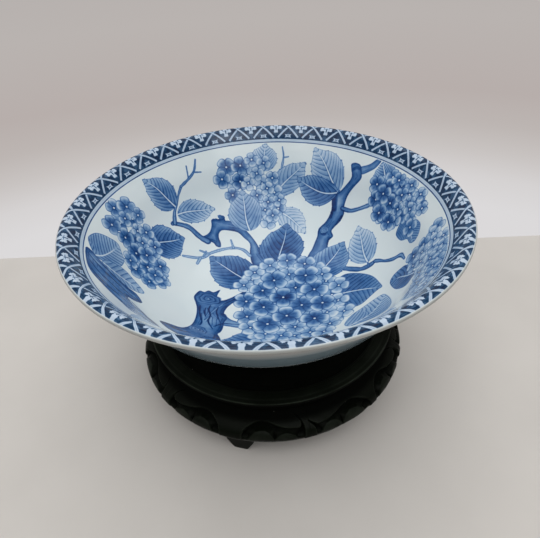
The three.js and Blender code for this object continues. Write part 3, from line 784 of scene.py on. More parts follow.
blade([(-0.803, -0.220), (-0.797, -0.177), (-0.781, -0.150), (-0.761, -0.125), (-0.740, -0.118), (-0.715, -0.132), (-0.683, -0.155), (-0.650, -0.193),
       (-0.662, -0.223), (-0.690, -0.240), (-0.720, -0.252), (-0.749, -0.257), (-0.776, -0.248)],
      [(-0.812, -0.223), (-0.771, -0.221), (-0.738, -0.207), (-0.701, -0.194), (-0.658, -0.196)], 0.50, veins=8, pale=0.4)

# -- growth on the near wall
branch([(-0.303, -0.470), (-0.260, -0.600), (-0.120, -0.660), (0.060, -0.655), (0.220, -0.620), (0.360, -0.600)],
       [0.050, 0.036, 0.026, 0.022, 0.018, 0.010], 0.70, seed=41)
leaf((-0.420, -0.560), (-0.560, -0.720), 0.090, 0.64, bend=0.05, veins=10, pale=0.3)
leaf((-0.240, -0.640), (-0.380, -0.800), 0.088, 0.70, bend=-0.05, veins=10, pale=0.1)
leaf((0.300, -0.620), (0.500, -0.720), 0.090, 0.62, bend=0.06, veins=10, pale=0.3)
leaf((0.180, -0.660), (0.330, -0.820), 0.086, 0.70, bend=-0.04, veins=10, pale=0.1)
cluster([(-0.150, -0.740, 0.70), (-0.060, -0.770, 0.80), (0.040, -0.740, 0.62), (-0.100, -0.820, 0.50), (0.000, -0.835, 0.56),
         (0.120, -0.770, 0.72), (-0.190, -0.810, 0.46), (0.095, -0.840, 0.48), (-0.020, -0.690, 0.50), (0.190, -0.790, 0.42), (-0.240, -0.760, 0.44)],
        0.064, under=[(-0.110, -0.780), (0.000, -0.790), (0.080, -0.800), (-0.160, -0.790), (0.150, -0.730), (-0.050, -0.840)], under_tone=0.5)

# -- leaves round the main cluster
leaf((0.056, 0.241), (0.139, 0.546), 0.140, 0.78, bend=0.01, veins=10, pale=0.0)
leaf((-0.086, 0.105), (-0.359, 0.304), 0.138, 0.78, bend=0.02, veins=10, pale=0.0)
leaf((0.289, 0.099), (0.474, 0.304), 0.118, 0.62, bend=0.03, veins=10, pale=0.05)
blade([(0.330, -0.095), (0.380, 0.020), (0.421, 0.057), (0.457, 0.061), (0.505, 0.034), (0.552, -0.016), (0.579, -0.072), (0.591, -0.140), (0.594, -0.192),
       (0.569, -0.197), (0.527, -0.221), (0.480, -0.251), (0.439, -0.247), (0.390, -0.208), (0.340, -0.150)],
      [(0.350, -0.090), (0.440, -0.095), (0.520, -0.130), (0.590, -0.190)], 0.64, veins=9, pale=0.05)
blade([(0.580, -0.266), (0.592, -0.320), (0.588, -0.382), (0.573, -0.436), (0.546, -0.476), (0.514, -0.481), (0.472, -0.468), (0.432, -0.455), (0.391, -0.443),
       (0.367, -0.414), (0.372, -0.376), (0.415, -0.320), (0.472, -0.292), (0.527, -0.270)],
      [(0.390, -0.430), (0.484, -0.404), (0.524, -0.369), (0.550, -0.338), (0.575, -0.300)], 0.46, veins=8, pale=0.55)
leaf((0.124, -0.374), (-0.264, -0.440), 0.104, 0.78, bend=0.02, veins=11, pale=0.1)
leaf((0.194, -0.394), (0.240, -0.640), 0.090, 0.66, bend=-0.05, veins=10, pale=0.2)

# -- main cluster
ground_wash(0.130, -0.050, 0.270, 0.280, 0.34)
cluster([(0.317, 0.117, 0.44), (-0.151, 0.081, 0.42), (-0.085, 0.193, 0.36), (0.397, -0.013, 0.42), (0.376, -0.140, 0.38),
         (0.389, -0.252, 0.36), (0.303, -0.334, 0.42), (0.196, -0.381, 0.46), (0.124, -0.311, 0.48), (0.304, -0.224, 0.34),
         (0.010, 0.248, 0.46), (0.118, 0.278, 0.56), (0.224, 0.231, 0.56), (-0.131, -0.196, 0.58), (-0.136, -0.061, 0.66),
         (0.123, 0.158, 0.46), (0.047, -0.379, 0.46), (-0.033, -0.355, 0.42), (0.264, -0.402, 0.40), (-0.112, -0.294, 0.40),
         (0.153, 0.035, 0.62), (-0.041, 0.032, 0.76), (0.175, -0.124, 0.74), (0.258, -0.002, 0.72), (-0.021, -0.266, 0.78),
         (-0.038, -0.116, 0.78), (0.086, -0.204, 0.78), (0.030, 0.116, 0.76), (0.221, 0.131, 0.86), (0.232, -0.258, 0.88),
         (0.290, -0.131, 0.94), (0.076, -0.039, 0.98)],
        0.084,
        under=[(0.056, 0.198), (0.177, 0.202), (-0.032, 0.188), (-0.100, 0.130), (0.090, 0.061), (0.280, 0.060),
               (0.333, 0.050), (0.349, -0.078), (0.207, -0.057), (0.124, -0.127), (0.016, -0.176), (-0.081, -0.037),
               (-0.082, -0.234), (0.055, -0.285), (0.163, -0.196), (0.163, -0.275), (0.335, -0.186), (0.243, -0.325), (0.341, -0.284),
               (-0.101, -0.135), (0.279, 0.177), (0.187, 0.080), (-0.003, -0.037), (0.016, -0.414), (0.115, -0.394), (-0.063, -0.394)],
        under_size=0.072, under_tone=0.42)

# -- rim: a deep blue ground with a white lattice, a flower in each opening and a floret under each crossing
FLOWER_AT = 4.0334                                           # degrees, the first flower; 36 in all
th_deg = np.degrees(P_th)
on_border = np.flatnonzero(P_r > 0.885)
b_th, b_r = th_deg[on_border], P_r[on_border]
# hundredths of a degree along the rim from the nearest flower and from the nearest crossing; V runs down from the edge
U = ((b_th - FLOWER_AT + 5.0) % 10.0 - 5.0) * 100
X = ((b_th - FLOWER_AT) % 10.0 - 5.0) * 100
V = (1.004 - b_r) / 0.119 * 1200
cell_no = np.floor((b_th - FLOWER_AT + 5.0) / 10.0)
X0 = X + 2.5 * wobble(X / 900 + cell_no * 0.37, V / 900, 61, 2)  # a steady hand, but a hand
U0 = U + 3.5 * wobble(U / 700 + cell_no * 0.61, V / 700, 62, 2)
V0 = V + 3.0 * wobble(U / 700 + cell_no * 0.61, V / 700, 63, 2)


LEG = [(410, 880), (0, 400), (-20, 350), (-100, 240), (-170, 150), (-225, 70), (-260, 20)]
over_d = off_line(-X0, V0, LEG)
under_d = off_line(X0, V0, LEG)
half_w = 37 + 11 * smoothstep(V0, 360, 140)
over = blot(half_w - over_d)
under = blot(half_w - under_d)
near_cross = smoothstep(np.abs(V0 - 400), 130, 90)
shade = blot(half_w + 20 - over_d) * (1 - over) * near_cross
white = np.maximum(over, under * (1 - 0.80 * shade))
# a faint grey line down the middle of each stroke, where the pigment was wiped thin
thin_line = 0.16 * np.maximum(blot(7 - over_d, 7), blot(7 - under_d, 7) * (1 - over))

flower = np.full(len(U), -1e9)
for outline in (
        [(-15, 345), (-60, 305), (-100, 328), (-138, 275), (-200, 258), (-206, 315), (-238, 345), (-214, 395), (-240, 440),
         (-214, 508), (-150, 518), (-112, 498), (-70, 520), (-15, 500)],
        [(15, 342), (58, 300), (100, 322), (140, 252), (202, 232), (206, 298), (240, 335), (212, 388), (240, 436),
         (218, 514), (158, 524), (112, 498), (70, 522), (15, 500)],
        [(-72, 10), (72, 10), (64, 140), (78, 200), (86, 258), (62, 312), (15, 348), (-15, 348), (-66, 312), (-92, 258), (-80, 200), (-64, 140)],
        [(-74, 470), (66, 470), (60, 520), (62, 570), (82, 640), (60, 690), (20, 674), (0, 694), (-20, 674), (-66, 690), (-90, 640), (-72, 570), (-70, 520)],
        [(-70, 330), (70, 330), (70, 510), (-70, 510)]):
    flower = np.maximum(flower, depth_in(U0, V0, outline))
flower = blot(flower)
bars = np.maximum(blot(18 - np.abs(U0 + 10)) * blot(V0 - 330) * blot(555 - V0),
                  blot(11 - np.abs(V0 - 385 + 0.08 * U0)) * blot(U0 + 130) * blot(105 - U0))
bars = np.maximum(bars, 0.55 * blot(6 - np.abs(U0 - 92 + 0.25 * (V0 - 260))) * blot(V0 - 235) * blot(330 - V0))
bars = np.maximum(bars, 0.55 * blot(6 - np.abs(U0 + 96 - 0.25 * (V0 - 260))) * blot(V0 - 235) * blot(330 - V0))
white = np.maximum(white, flower * (1 - 0.93 * bars))
floret_d = depth_in(X0, V0, [(-140, 735), (-60, 758), (0, 764), (60, 758), (140, 735), (106, 780), (95, 815), (106, 850), (140, 895),
                             (60, 872), (0, 866), (-60, 872), (-140, 895), (-106, 850), (-95, 815), (-106, 780)])
mark = np.maximum(blot(9 - np.abs(np.abs(X0) - 38)) * blot(26 - np.abs(V0 - 815)), blot(9 - np.abs(V0 - 815)) * blot(38 - np.abs(X0)))
white = np.maximum(white, blot(floret_d) * (1 - 0.90 * mark))

ground = smoothstep(b_r, 0.9098, 0.9116) * (1 - smoothstep(b_r, 0.9965, 0.9988))
# the ground was laid in fine strokes along the rim, with thinner patches
strokes = 0.5 + 0.5 * np.sin(V * 0.26 + 1.6 * wobble(b_th / 9, V / 500, 71, 2))
patch = smoothstep(wobble(b_th / 4.1, V / 420, 72, 3), 0.15, 0.65)
tone = 0.98 - 0.14 * strokes - 0.26 * patch * (0.5 + 0.5 * strokes)
ink = np.zeros(len(P_r))
ink[on_border] = np.clip(ground * ((1 - white) * tone + white * (0.085 + thin_line)), 0, 1)

pigment = np.where(P_r > 0.9100, 0.0, pigment)
clear = smoothstep(P_r, 0.892, 0.897)
pigment = pigment * (1 - clear)
lines = 0.185 * smoothstep(P_r, 0.9000, 0.9022) * (1 - smoothstep(P_r, 0.9086, 0.9100))
lines = lines * (1 + 0.10 * wobble(th_deg / 14, P_r * 0, 81, 3))
dark_line = 0.90 * (1 - smoothstep(np.abs(P_r - 0.8990), 0.0010, 0.0025))
pigment = np.maximum(pigment, np.maximum(lines, dark_line))

paint_all = np.zeros(len(bowl_verts))
ink_all = np.zeros(len(bowl_verts))
paint_all[inside] = pigment
ink_all[inside] = ink
bare_all = smoothstep(bowl_verts[:, 2], 0.0474, 0.0464) * (~inside)
# painted shade: the outer face of the lip below its top is coloured grey
lip_corner_shade = smoothstep(ring_r[vert_ring], 120.5, 121.3) * smoothstep(bowl_verts[:, 2], RIM_Z + 0.0005, RIM_Z - 0.0007)
drop = bowl_verts[:, 2] - RIM_Z
lower = smoothstep(drop, -0.0400, -0.0520)             # below this the glaze is pale again
hidden = smoothstep(drop, -0.0030, -0.0060) * smoothstep(drop, -0.0215, -0.0180)
# painted shade: the outer wall under the lip is coloured grey, less in the hidden zone and little further down
lip_underside_shade = np.maximum((~inside) * smoothstep(drop, 0.0004, -0.0008) * (1 - 0.75 * hidden) * (1 - 0.8 * lower), lip_corner_shade)
# painted shade: a blue-grey band on the outer wall below the lip, faded out further down
exterior_band_shade = (~inside) * smoothstep(drop, -0.0225, -0.0300) * (1 - lower)

bowl = build_mesh("bowl_painted", bowl_verts, [quads, tris],
                  uv=[side_uv(quads, quad_side), side_uv(tris, tri_side)],
                  attrs={"paint": paint_all, "ink": ink_all, "bare": bare_all, "lip": lip_underside_shade, "wash": exterior_band_shade})
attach(bowl, "bowl")
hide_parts("bowl")


# ------------------------------------------------------------------ stand: carved belt
BELT_OUTSIDE = [
    (79.1, 38.4), (81.7, 37.1), (84.4, 36.0), (86.7, 34.9), (89.0, 33.6), (90.9, 32.2), (92.3, 30.5), (93.1, 28.0),
    (92.9, 26.1), (91.5, 23.6), (89.5, 21.4), (87.0, 19.8), (84.2, 19.0), (81.7, 18.7),
]
BELT_INNER = [(78, 18.7), (74, 18.7), (70.1, 18.7), (69.6, 18.85), (69.4, 19.3), (69.4, 25), (69.4, 32), (69.4, 38.5),
              (69.6, 38.95), (70.1, 39.1), (72, 39.1), (74.0, 39.1), (74.4, 38.95), (74.5, 38.7), (74.5, 38.4), (76.8, 38.4)]
BELT_R = 93.1
STRAP_DEG = [41.2, 100.6, 160.0, 219.5, 282.5, 342.0, 401.2]
PLAIN_DEG = [71.0, 130.5, 189.5, 252.1, 312.1, 371.4]

# Where the carver set each half's marks, in degrees from the plain middle to the strap, for these millimetres
MARKS_MM = [0, 7.0, 9.9, 27.5, 41.3, 46.0, 49.3]
MARKS = {
    (2, 1): [189.5, 190.5, 192.8, 206.0, 214.5, 216.8, 219.5],
    (3, -1): [252.1, 247.7, 245.3, 235.3, 226.0, 222.2, 219.5],
    (3, 1): [252.1, 256.4, 258.2, 269.0, 277.6, 280.4, 282.6],
    (4, -1): [312.1, 310.4, 307.5, 295.7, 286.8, 285.0, 282.5],
    (4, 1): [312.1, 313.7, 315.3, 326.2, 335.0, 340.0, 342.0],
}

CUT = [(7.0, -16), (7.0, 0), (7.1, 3), (8, 6), (9.6, 8), (12.8, 10.3), (16.1, 11.8), (19.3, 12.2), (22.6, 12.0), (25.8, 11),
       (29.1, 9.6), (32.3, 8.4), (35.6, 7.5), (38.8, 7.0), (41.4, 6.7), (43.2, 6.9), (44.3, 8.0), (44.5, 9.5), (44.2, 11),
       (43.1, 12.8), (41.5, 14.6), (40.5, 15.3), (40.9, 15.35), (42.3, 14.4), (43.9, 12.5), (45.1, 10), (45.9, 8), (46.4, 5),
       (46.1, 0), (46.0, -16)]
BIG_LOBE = [(11.0, -16), (11.2, 0), (12.8, 3), (15.4, 5.6), (18.9, 6.7), (21.6, 6.8), (24.3, 5.2), (26.4, 2.5), (27.45, 0.3), (27.45, -16)]
SMALL_LOBE = [(27.55, -16), (27.55, 0.3), (29.1, 2.3), (31.5, 3.9), (34.5, 4.5), (37.2, 3.8), (39.7, 2.3), (41.2, 0), (41.4, -16)]


def relief(t, w, tall=0.0):
    """Carving depth in millimetres (negative is cut away) at t from a segment's middle and w above the widest line."""
    region = depth_in(t, w, CUT)
    small = [(a, b + tall * smoothstep(b, 0.0, 4.0)) for a, b in SMALL_LOBE]
    bevel = 1.3 + 4.6 * smoothstep(w, 1.5, 7.0)
    floor_h = -0.5 - 3.9 * smoothstep(w, -2.5, 5.5)

    def lobe_height(d):
        face = -0.25 - 0.20 * np.exp(-np.clip(d, 0, None) / 0.9)
        slope = -0.45 - 3.0 * np.clip(-d / bevel, 0, 1) ** 0.85
        drop = smoothstep(-d - bevel, -0.05, 0.50)
        return np.where(d > 0, face, slope * (1 - drop) - 4.6 * drop)

    one, two = depth_in(t, w, BIG_LOBE), depth_in(t, w, small)
    bed = np.maximum(np.maximum(lobe_height(one), lobe_height(two)), floor_h)
    notch = (1 - smoothstep(np.abs(t - 27.5), 0.0, 0.8)) * smoothstep(w, -2.0, 0.5)
    bed = bed - 0.6 * notch * (bed > -2.3)
    h = smoothstep(region, -0.10, 0.50) * bed
    return h * smoothstep(w, -6.0, -2.0)


outer, _ = curve_through(BELT_OUTSIDE, 0.30)
outer_s = np.concatenate([[0], np.cumsum(np.hypot(*np.diff(outer, axis=0).T))])
widest = int(np.argmax(outer[:, 0]))
outer_w = outer_s[widest] - outer_s                         # above the widest line is positive
tangent = np.gradient(outer, axis=0)
normal = np.stack([-tangent[:, 1], tangent[:, 0]], 1)
normal /= np.linalg.norm(normal, axis=1, keepdims=True)
normal *= np.sign(normal[widest, 0])
loop_rz = np.concatenate([outer, np.array(BELT_INNER, float)])
n_outer, n_loop = len(outer), len(loop_rz)
loop_s = np.concatenate([[0], np.cumsum(np.hypot(*np.diff(np.concatenate([loop_rz, loop_rz[:1]]), axis=0).T))])
EDGE_TRIM = 0.02                                           # degrees left at each joint

belt = []
for k in range(6):
    a0, a1, plain = STRAP_DEG[k], STRAP_DEG[k + 1], PLAIN_DEG[k]
    deg = np.linspace(a0 + EDGE_TRIM, a1 - EDGE_TRIM, 353)
    theta = np.radians(deg)
    t = np.zeros(len(deg))
    for side in (-1, 1):
        end = a1 if side > 0 else a0
        marks = MARKS.get((k, side)) or [plain + (end - plain) * m / 49.3 for m in MARKS_MM]
        marks = np.abs(np.array(marks) - plain)
        pick = (deg - plain) * side > 0
        t[pick] = np.interp(np.abs(deg[pick] - plain), marks, MARKS_MM)
    T, Wd = np.meshgrid(t, outer_w, indexing="ij")
    turn = np.meshgrid(deg - plain, outer_w, indexing="ij")[0]
    # each cut was made by hand, so no two are quite alike
    shift = 0.30 * wobble(turn / 24 + k, Wd / 40, 20 + k, 2)
    if k == 4:                              # here the cut beside the strap leans
        T = np.where(turn < 0, T - 8 * smoothstep(Wd, 4, 15) * smoothstep(T, 36, 44), T)
    H = np.where(turn < 0, relief(T + shift, Wd + 0.7 * shift, 1.4 if k == 4 else 0.3), relief(T + shift, Wd + 0.7 * shift, 0.0))
    H = H + 0.06 * wobble(turn / 9 + 3 * k, Wd / 14, 40 + k, 2) * smoothstep(Wd, -16, -12)
    H = H * smoothstep(np.minimum(outer_s[None, :], outer_s[-1] - outer_s[None, :]), 0.0, 1.0)
    rr = np.repeat(loop_rz[None, :, 0], len(theta), 0)
    zz = np.repeat(loop_rz[None, :, 1], len(theta), 0)
    rr[:, :n_outer] += H * normal[None, :, 0]
    zz[:, :n_outer] += H * normal[None, :, 1]
    pos = np.stack([rr * np.cos(theta)[:, None], rr * np.sin(theta)[:, None], zz], -1) * MM
    # convex edges, for wear
    pad = np.pad(H, 3, mode="edge")
    mean = sum(pad[3 + i:3 + i + H.shape[0], 3 + j:3 + j + H.shape[1]] for i in (-3, 0, 3) for j in (-3, 0, 3)) / 9
    edge = np.clip((H - mean) * 0.5, 0, 0.30)
    # concave places, for painted shade in the creases
    hollow = np.clip((mean - H) * 0.9, 0, 1)
    # painted sheen: the faces of the lobes and the plain band of the shoulder are drawn paler than the rest of the
    # belt; painted shade keeps the hollow under the collar black
    lit_lobe_face = smoothstep(H, -0.62, -0.46) * smoothstep(H, -0.16, -0.22) * smoothstep(Wd, 9, 7)
    edge = np.maximum(edge, 0.42 * lit_lobe_face)
    edge = np.maximum(edge, 0.08 * smoothstep(Wd, -1, 4) * smoothstep(Wd, 11.5, 8.5) * smoothstep(H, -0.3, -0.1))
    wear_and_sheen_all = np.zeros((len(theta), n_loop))
    recess_shade_all = np.zeros((len(theta), n_loop))
    wear_and_sheen_all[:, :n_outer] = edge
    # painted shade: the creases, the deep cuts and the band of the shoulder under the collar are darkened
    recess_shade_all[:, :n_outer] = np.clip(np.maximum(np.maximum(hollow, smoothstep(-H, 1.0, 3.6)), smoothstep(Wd, 9.5, 14.0)), 0, 1)
    idx = np.arange(len(theta) * n_loop).reshape(len(theta), n_loop)
    nxt = np.roll(idx, -1, axis=1)
    faces = np.stack([idx[:-1], nxt[:-1], nxt[1:], idx[1:]], -1).reshape(-1, 4)
    # layout for baking: around the belt across, the section upwards
    uu = 0.01 + 0.98 * np.arange(len(theta)) / (len(theta) - 1)
    v0 = 0.10 + 0.89 * loop_s[:-1] / loop_s[-1]
    v1 = 0.10 + 0.89 * loop_s[1:] / loop_s[-1]
    u_at = np.broadcast_to(uu[:, None], (len(theta), n_loop))
    q_uv = np.stack([
        np.stack([u_at[:-1], np.broadcast_to(v0, u_at[:-1].shape)], -1),
        np.stack([u_at[:-1], np.broadcast_to(v1, u_at[:-1].shape)], -1),
        np.stack([u_at[1:], np.broadcast_to(v1, u_at[1:].shape)], -1),
        np.stack([u_at[1:], np.broadcast_to(v0, u_at[1:].shape)], -1)], 2).reshape(-1, 4, 2)
    cap_a, cap_b = idx[0][::-1][None, :], idx[-1][None, :]
    flat_rz = (loop_rz - np.array([69, 18])) / 26.0
    uv_a = (flat_rz * 0.08 + np.array([0.05, 0.005]))[::-1][None]
    uv_b = (flat_rz * 0.08 + np.array([0.25, 0.005]))[None]
    ob = build_mesh(f"belt_carved_{k + 1}", pos.reshape(-1, 3), [faces, cap_a, cap_b], uv=[q_uv, uv_a, uv_b],
                    attrs={"edge": wear_and_sheen_all.ravel(), "hollow": recess_shade_all.ravel()})
    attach(ob, "stand")
    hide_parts(f"belt_segment_{k + 1}")
    belt.append(ob)

# ------------------------------------------------------------------ stand: collar and seat board
collar_points = [
    (74.8, 38.75), (77.0, 38.7), (78.7, 38.72), (79.1, 39.1), (78.8, 41.2), (79.4, 44.1), (81.0, 46.5), (83.2, 48.1), (84.55, 48.75),
    (84.80, 49.10), (84.95, 49.75), (84.95, 50.35), (84.82, 50.78), (84.52, 50.98), (84.16, 50.94), (83.90, 50.74), (83.50, 50.70),
    (82.60, 50.76), (81.75, 50.78), (81.52, 50.60), (81.29, 50.78), (80.95, 50.78), (80.72, 50.60), (80.49, 50.78),
    (78.80, 50.76), (77.00, 50.72), (76.35, 50.74), (76.05, 50.54), (75.75, 50.72), (75.25, 50.62), (74.90, 50.35), (74.80, 49.7),
    (74.80, 46.0), (74.80, 42.0),
]
collar_curve, _ = curve_through(collar_points, 0.35, before=(74.8, 40.5), after=(74.8, 40.0))
collar_wear = np.clip(smoothstep(collar_curve[:, 1], 50.80, 50.92) * smoothstep(collar_curve[:, 0], 84.05, 84.25), 0, 1)
# painted sheen: the turned lines and the outer band of the top face are drawn paler
collar_lines_and_sheen = 0.34 * np.exp(-((collar_curve[:, 0] - 81.2) / 0.5) ** 2) + 0.22 * np.exp(-((collar_curve[:, 0] - 76.2) / 0.4) ** 2)
collar_lines_and_sheen = (collar_lines_and_sheen + 0.17 * smoothstep(collar_curve[:, 0], 76.5, 78.0)) * smoothstep(collar_curve[:, 1], 50.4, 50.6)
# painted shade: every face of the collar below its top face is darkened through the hollow attribute
collar = turned_mesh("collar_turned", collar_curve * MM, 720, close=True,
                     attrs={"edge": np.maximum(collar_wear * 1.3, collar_lines_and_sheen), "hollow": smoothstep(collar_curve[:, 1], 50.62, 50.25)})
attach(collar, "stand")
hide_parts("collar_ring")

board_points = [(0, 45.4)]
for r in (12, 24, 36, 46.5):
    board_points += [(r, 45.4)]
for r in (66.0, 70.5):
    board_points += [(r - 0.55, 45.4), (r - 0.22, 45.30), (r, 45.25), (r + 0.22, 45.30), (r + 0.55, 45.4)]
board_points += [(73.3, 45.4), (74.0, 45.25), (74.35, 44.8), (74.4, 44.0), (74.4, 41.0), (74.2, 39.8), (73.6, 39.42), (70, 39.4), (40, 39.4), (0, 39.4)]
# painted shade: the whole seat board is darkened, as it lies under the bowl
board = turned_mesh("seat_board_turned", np.array(board_points) * MM, 360,
                    attrs={"edge": np.zeros(len(board_points)), "hollow": np.full(len(board_points), 0.75)})
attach(board, "stand")
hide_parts("seat_board")

# ------------------------------------------------------------------ stand: feet
levels = [(0.0, 4.4, 0.5), (0.35, 4.9, 0.1), (1.2, 5.4, 0.0), (3.5, 6.65, 0.0), (5.5, 7.7, 0.0), (7.2, 8.5, 0.0), (9.0, 9.15, 0.0), (12.5, 9.35, 0.0), (15.5, 9.5, 0.0), (18.4, 9.6, 0.0)]
for f in range(3):
    angle = math.radians(253.0 + 120 * f)
    rows = []
    around = 64
    for z, hw, inset in levels:
        outer_r = 83.3 + 1.6 * z / 18.4 - inset
        inner_r = 71.2 + 1.5 * (1 - z / 18.4) + inset
        c, hd = (outer_r + inner_r) / 2, (outer_r - inner_r) / 2
        a = np.arange(around) * 2 * math.pi / around
        p = 2 / 9.0
        x = c + hd * np.sign(np.cos(a)) * np.abs(np.cos(a)) ** p
        y = hw * np.sign(np.sin(a)) * np.abs(np.sin(a)) ** p
        y = y * (1 + 0.012 * np.sin(z * 0.9 + f))
        rows.append(np.stack([x, y, np.full(around, z)], 1))
    verts = np.stack(rows).reshape(-1, 3)
    n_rows = len(rows)
    idx = np.arange(n_rows * around).reshape(n_rows, around)
    nxt = np.roll(idx, -1, axis=1)
    faces = np.stack([idx[:-1], nxt[:-1], nxt[1:], idx[1:]], -1).reshape(-1, 4)
    x, y = verts[:, 0].copy(), verts[:, 1].copy()
    verts = np.stack([x * math.cos(angle) - y * math.sin(angle), x * math.sin(angle) + y * math.cos(angle), verts[:, 2]], 1) * MM
    corner = np.abs(np.sin(2 * np.arange(around) * 2 * math.pi / around)) ** 6
    wear = np.concatenate([corner * (0.7 if i else 1.0) for i in range(n_rows)])
    ob = build_mesh(f"foot_carved_{f + 1}", verts, [faces, idx[0][::-1][None, :], idx[-1][None, :]],
                    attrs={"edge": wear * 0.6, "hollow": np.zeros(len(verts))})
    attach(ob, "stand")
    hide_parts(f"foot_{f + 1}")
    belt.append(ob)


# ------------------------------------------------------------------ materials
def srgb(r, g, b):
    def lin(c):
        c = c / 255.0
        return c / 12.92 if c <= 0.04045 else ((c + 0.055) / 1.055) ** 2.4
    return (lin(r), lin(g), lin(b), 1.0)


def new_material(name):
    m = bpy.data.materials.new(name)
    m.use_nodes = True
    nt = m.node_tree
    nt.nodes.clear()
    out = nt.nodes.new("ShaderNodeOutputMaterial")
    bsdf = nt.nodes.new("ShaderNodeBsdfPrincipled")
    nt.links.new(bsdf.outputs[0], out.inputs["Surface"])
    return m, nt, bsdf


def node(nt, kind, **values):
    n = nt.nodes.new(kind)
    for k, v in values.items():
        setattr(n, k, v)
    return n


def ramp(nt, stops, interpolation="LINEAR"):
    n = nt.nodes.new("ShaderNodeValToRGB")
    n.color_ramp.interpolation = interpolation
    els = n.color_ramp.elements
    els[0].position, els[0].color = stops[0]
    els[1].position, els[1].color = stops[-1]
    for pos, col in stops[1:-1]:
        e = els.new(pos)
        e.color = col
    return n


def attribute(nt, name):
    n = nt.nodes.new("ShaderNodeAttribute")
    n.attribute_type = "GEOMETRY"
    n.attribute_name = name
    return n.outputs["Fac"]


def noise(nt, coords, scale, detail=4.0, roughness=0.5):
    n = nt.nodes.new("ShaderNodeTexNoise")
    n.inputs["Scale"].default_value = scale
    n.inputs["Detail"].default_value = detail
    n.inputs["Roughness"].default_value = roughness
    nt.links.new(coords, n.inputs["Vector"])
    return n.outputs["Fac"]


def math_node(nt, op, a, b=None, clamp=False):
    n = nt.nodes.new("ShaderNodeMath")
    n.operation = op
    n.use_clamp = clamp
    for i, v in enumerate((a, b)):
        if v is None:
            continue
        if isinstance(v, (int, float)):
            n.inputs[i].default_value = v
        else:
            nt.links.new(v, n.inputs[i])
    return n.outputs[0]


def map_range(nt, value, a, b, c, d):
    n = nt.nodes.new("ShaderNodeMapRange")
    n.inputs["From Min"].default_value = a
    n.inputs["From Max"].default_value = b
    n.inputs["To Min"].default_value = c
    n.inputs["To Max"].default_value = d
    nt.links.new(value, n.inputs["Value"])
    return n.outputs["Result"]


def mix_color(nt, fac, a, b, blend="MIX"):
    n = nt.nodes.new("ShaderNodeMix")
    n.data_type = "RGBA"
    n.blend_type = blend
    if isinstance(fac, (int, float)):
        n.inputs["Factor"].default_value = fac
    else:
        nt.links.new(fac, n.inputs["Factor"])
    for i, v in ((6, a), (7, b)):
        if isinstance(v, tuple):
            n.inputs[i].default_value = v
        else:
            nt.links.new(v, n.inputs[i])
    return n.outputs[2]


# -- painted, glazed porcelain
porcelain, nt, bsdf = new_material("painted_porcelain")
tc = node(nt, "ShaderNodeTexCoord").outputs["Object"]
paint = attribute(nt, "paint")
inkv = attribute(nt, "ink")
bare = attribute(nt, "bare")
wash = noise(nt, tc, 210.0, 3.0, 0.55)
broad = noise(nt, tc, 38.0, 2.0, 0.5)
dens = math_node(nt, "MULTIPLY", paint, map_range(nt, wash, 0.3, 0.7, 0.90, 1.10))
dens = math_node(nt, "MULTIPLY", dens, map_range(nt, broad, 0.3, 0.7, 0.93, 1.07), clamp=True)
cobalt = ramp(nt, [
    (0.0, srgb(221, 230, 231)), (0.12, srgb(199, 214, 226)), (0.30, srgb(152, 180, 209)), (0.45, srgb(110, 148, 189)),
    (0.60, srgb(66, 112, 166)), (0.78, srgb(24, 78, 136)), (0.90, srgb(8, 56, 115)), (1.0, srgb(4, 36, 88)),
])
nt.links.new(dens, cobalt.inputs["Fac"])
ink_d = math_node(nt, "MULTIPLY", inkv, map_range(nt, wash, 0.3, 0.7, 0.86, 1.08), clamp=True)
navy_ramp = ramp(nt, [
    (0.0, srgb(221, 230, 231)), (0.08, srgb(194, 211, 230)), (0.30, srgb(126, 157, 190)), (0.55, srgb(66, 104, 142)),
    (0.75, srgb(26, 68, 103)), (0.90, srgb(0, 46, 82)), (1.0, srgb(0, 22, 56)),
])
nt.links.new(ink_d, navy_ramp.inputs["Fac"])
col = mix_color(nt, 1.0, cobalt.outputs["Color"], navy_ramp.outputs["Color"], "DARKEN")
# iron specks and a faint unevenness in the glaze
speck = node(nt, "ShaderNodeTexVoronoi")
speck.inputs["Scale"].default_value = 46.0
nt.links.new(tc, speck.inputs["Vector"])
speck_mask = map_range(nt, speck.outputs["Distance"], 0.012, 0.020, 0.55, 0.0)
col = mix_color(nt, speck_mask, col, srgb(120, 118, 110))
tint = mix_color(nt, map_range(nt, broad, 0.25, 0.75, 0.0, 0.35), (1.0, 1.0, 1.0, 1.0), srgb(240, 247, 250))
col = mix_color(nt, 1.0, col, tint, "MULTIPLY")
# painted shade: grey under the lip, from the lip attribute
col = mix_color(nt, attribute(nt, "lip"), col, srgb(169, 171, 169))
# painted shade: the blue-grey band on the outer wall, from the wash attribute
col = mix_color(nt, math_node(nt, "MULTIPLY", attribute(nt, "wash"), map_range(nt, wash, 0.3, 0.7, 0.92, 1.0), clamp=True), col, srgb(110, 128, 137))
clay = mix_color(nt, noise(nt, tc, 900.0, 2.0), srgb(196, 184, 164), srgb(222, 214, 198))
col = mix_color(nt, bare, col, clay)
nt.links.new(col, bsdf.inputs["Base Color"])
rough = math_node(nt, "ADD", map_range(nt, noise(nt, tc, 60.0, 3.0), 0.3, 0.7, 0.10, 0.16), math_node(nt, "MULTIPLY", bare, 0.6), clamp=True)
nt.links.new(rough, bsdf.inputs["Roughness"])
bsdf.inputs["IOR"].default_value = 1.50
bsdf.inputs["Specular IOR Level"].default_value = 0.28
bump = node(nt, "ShaderNodeBump")
bump.inputs["Strength"].default_value = 0.035
bump.inputs["Distance"].default_value = 0.0006
nt.links.new(noise(nt, tc, 70.0, 3.0, 0.6), bump.inputs["Height"])
nt.links.new(bump.outputs[0], bsdf.inputs["Normal"])
bowl.data.materials.append(porcelain)


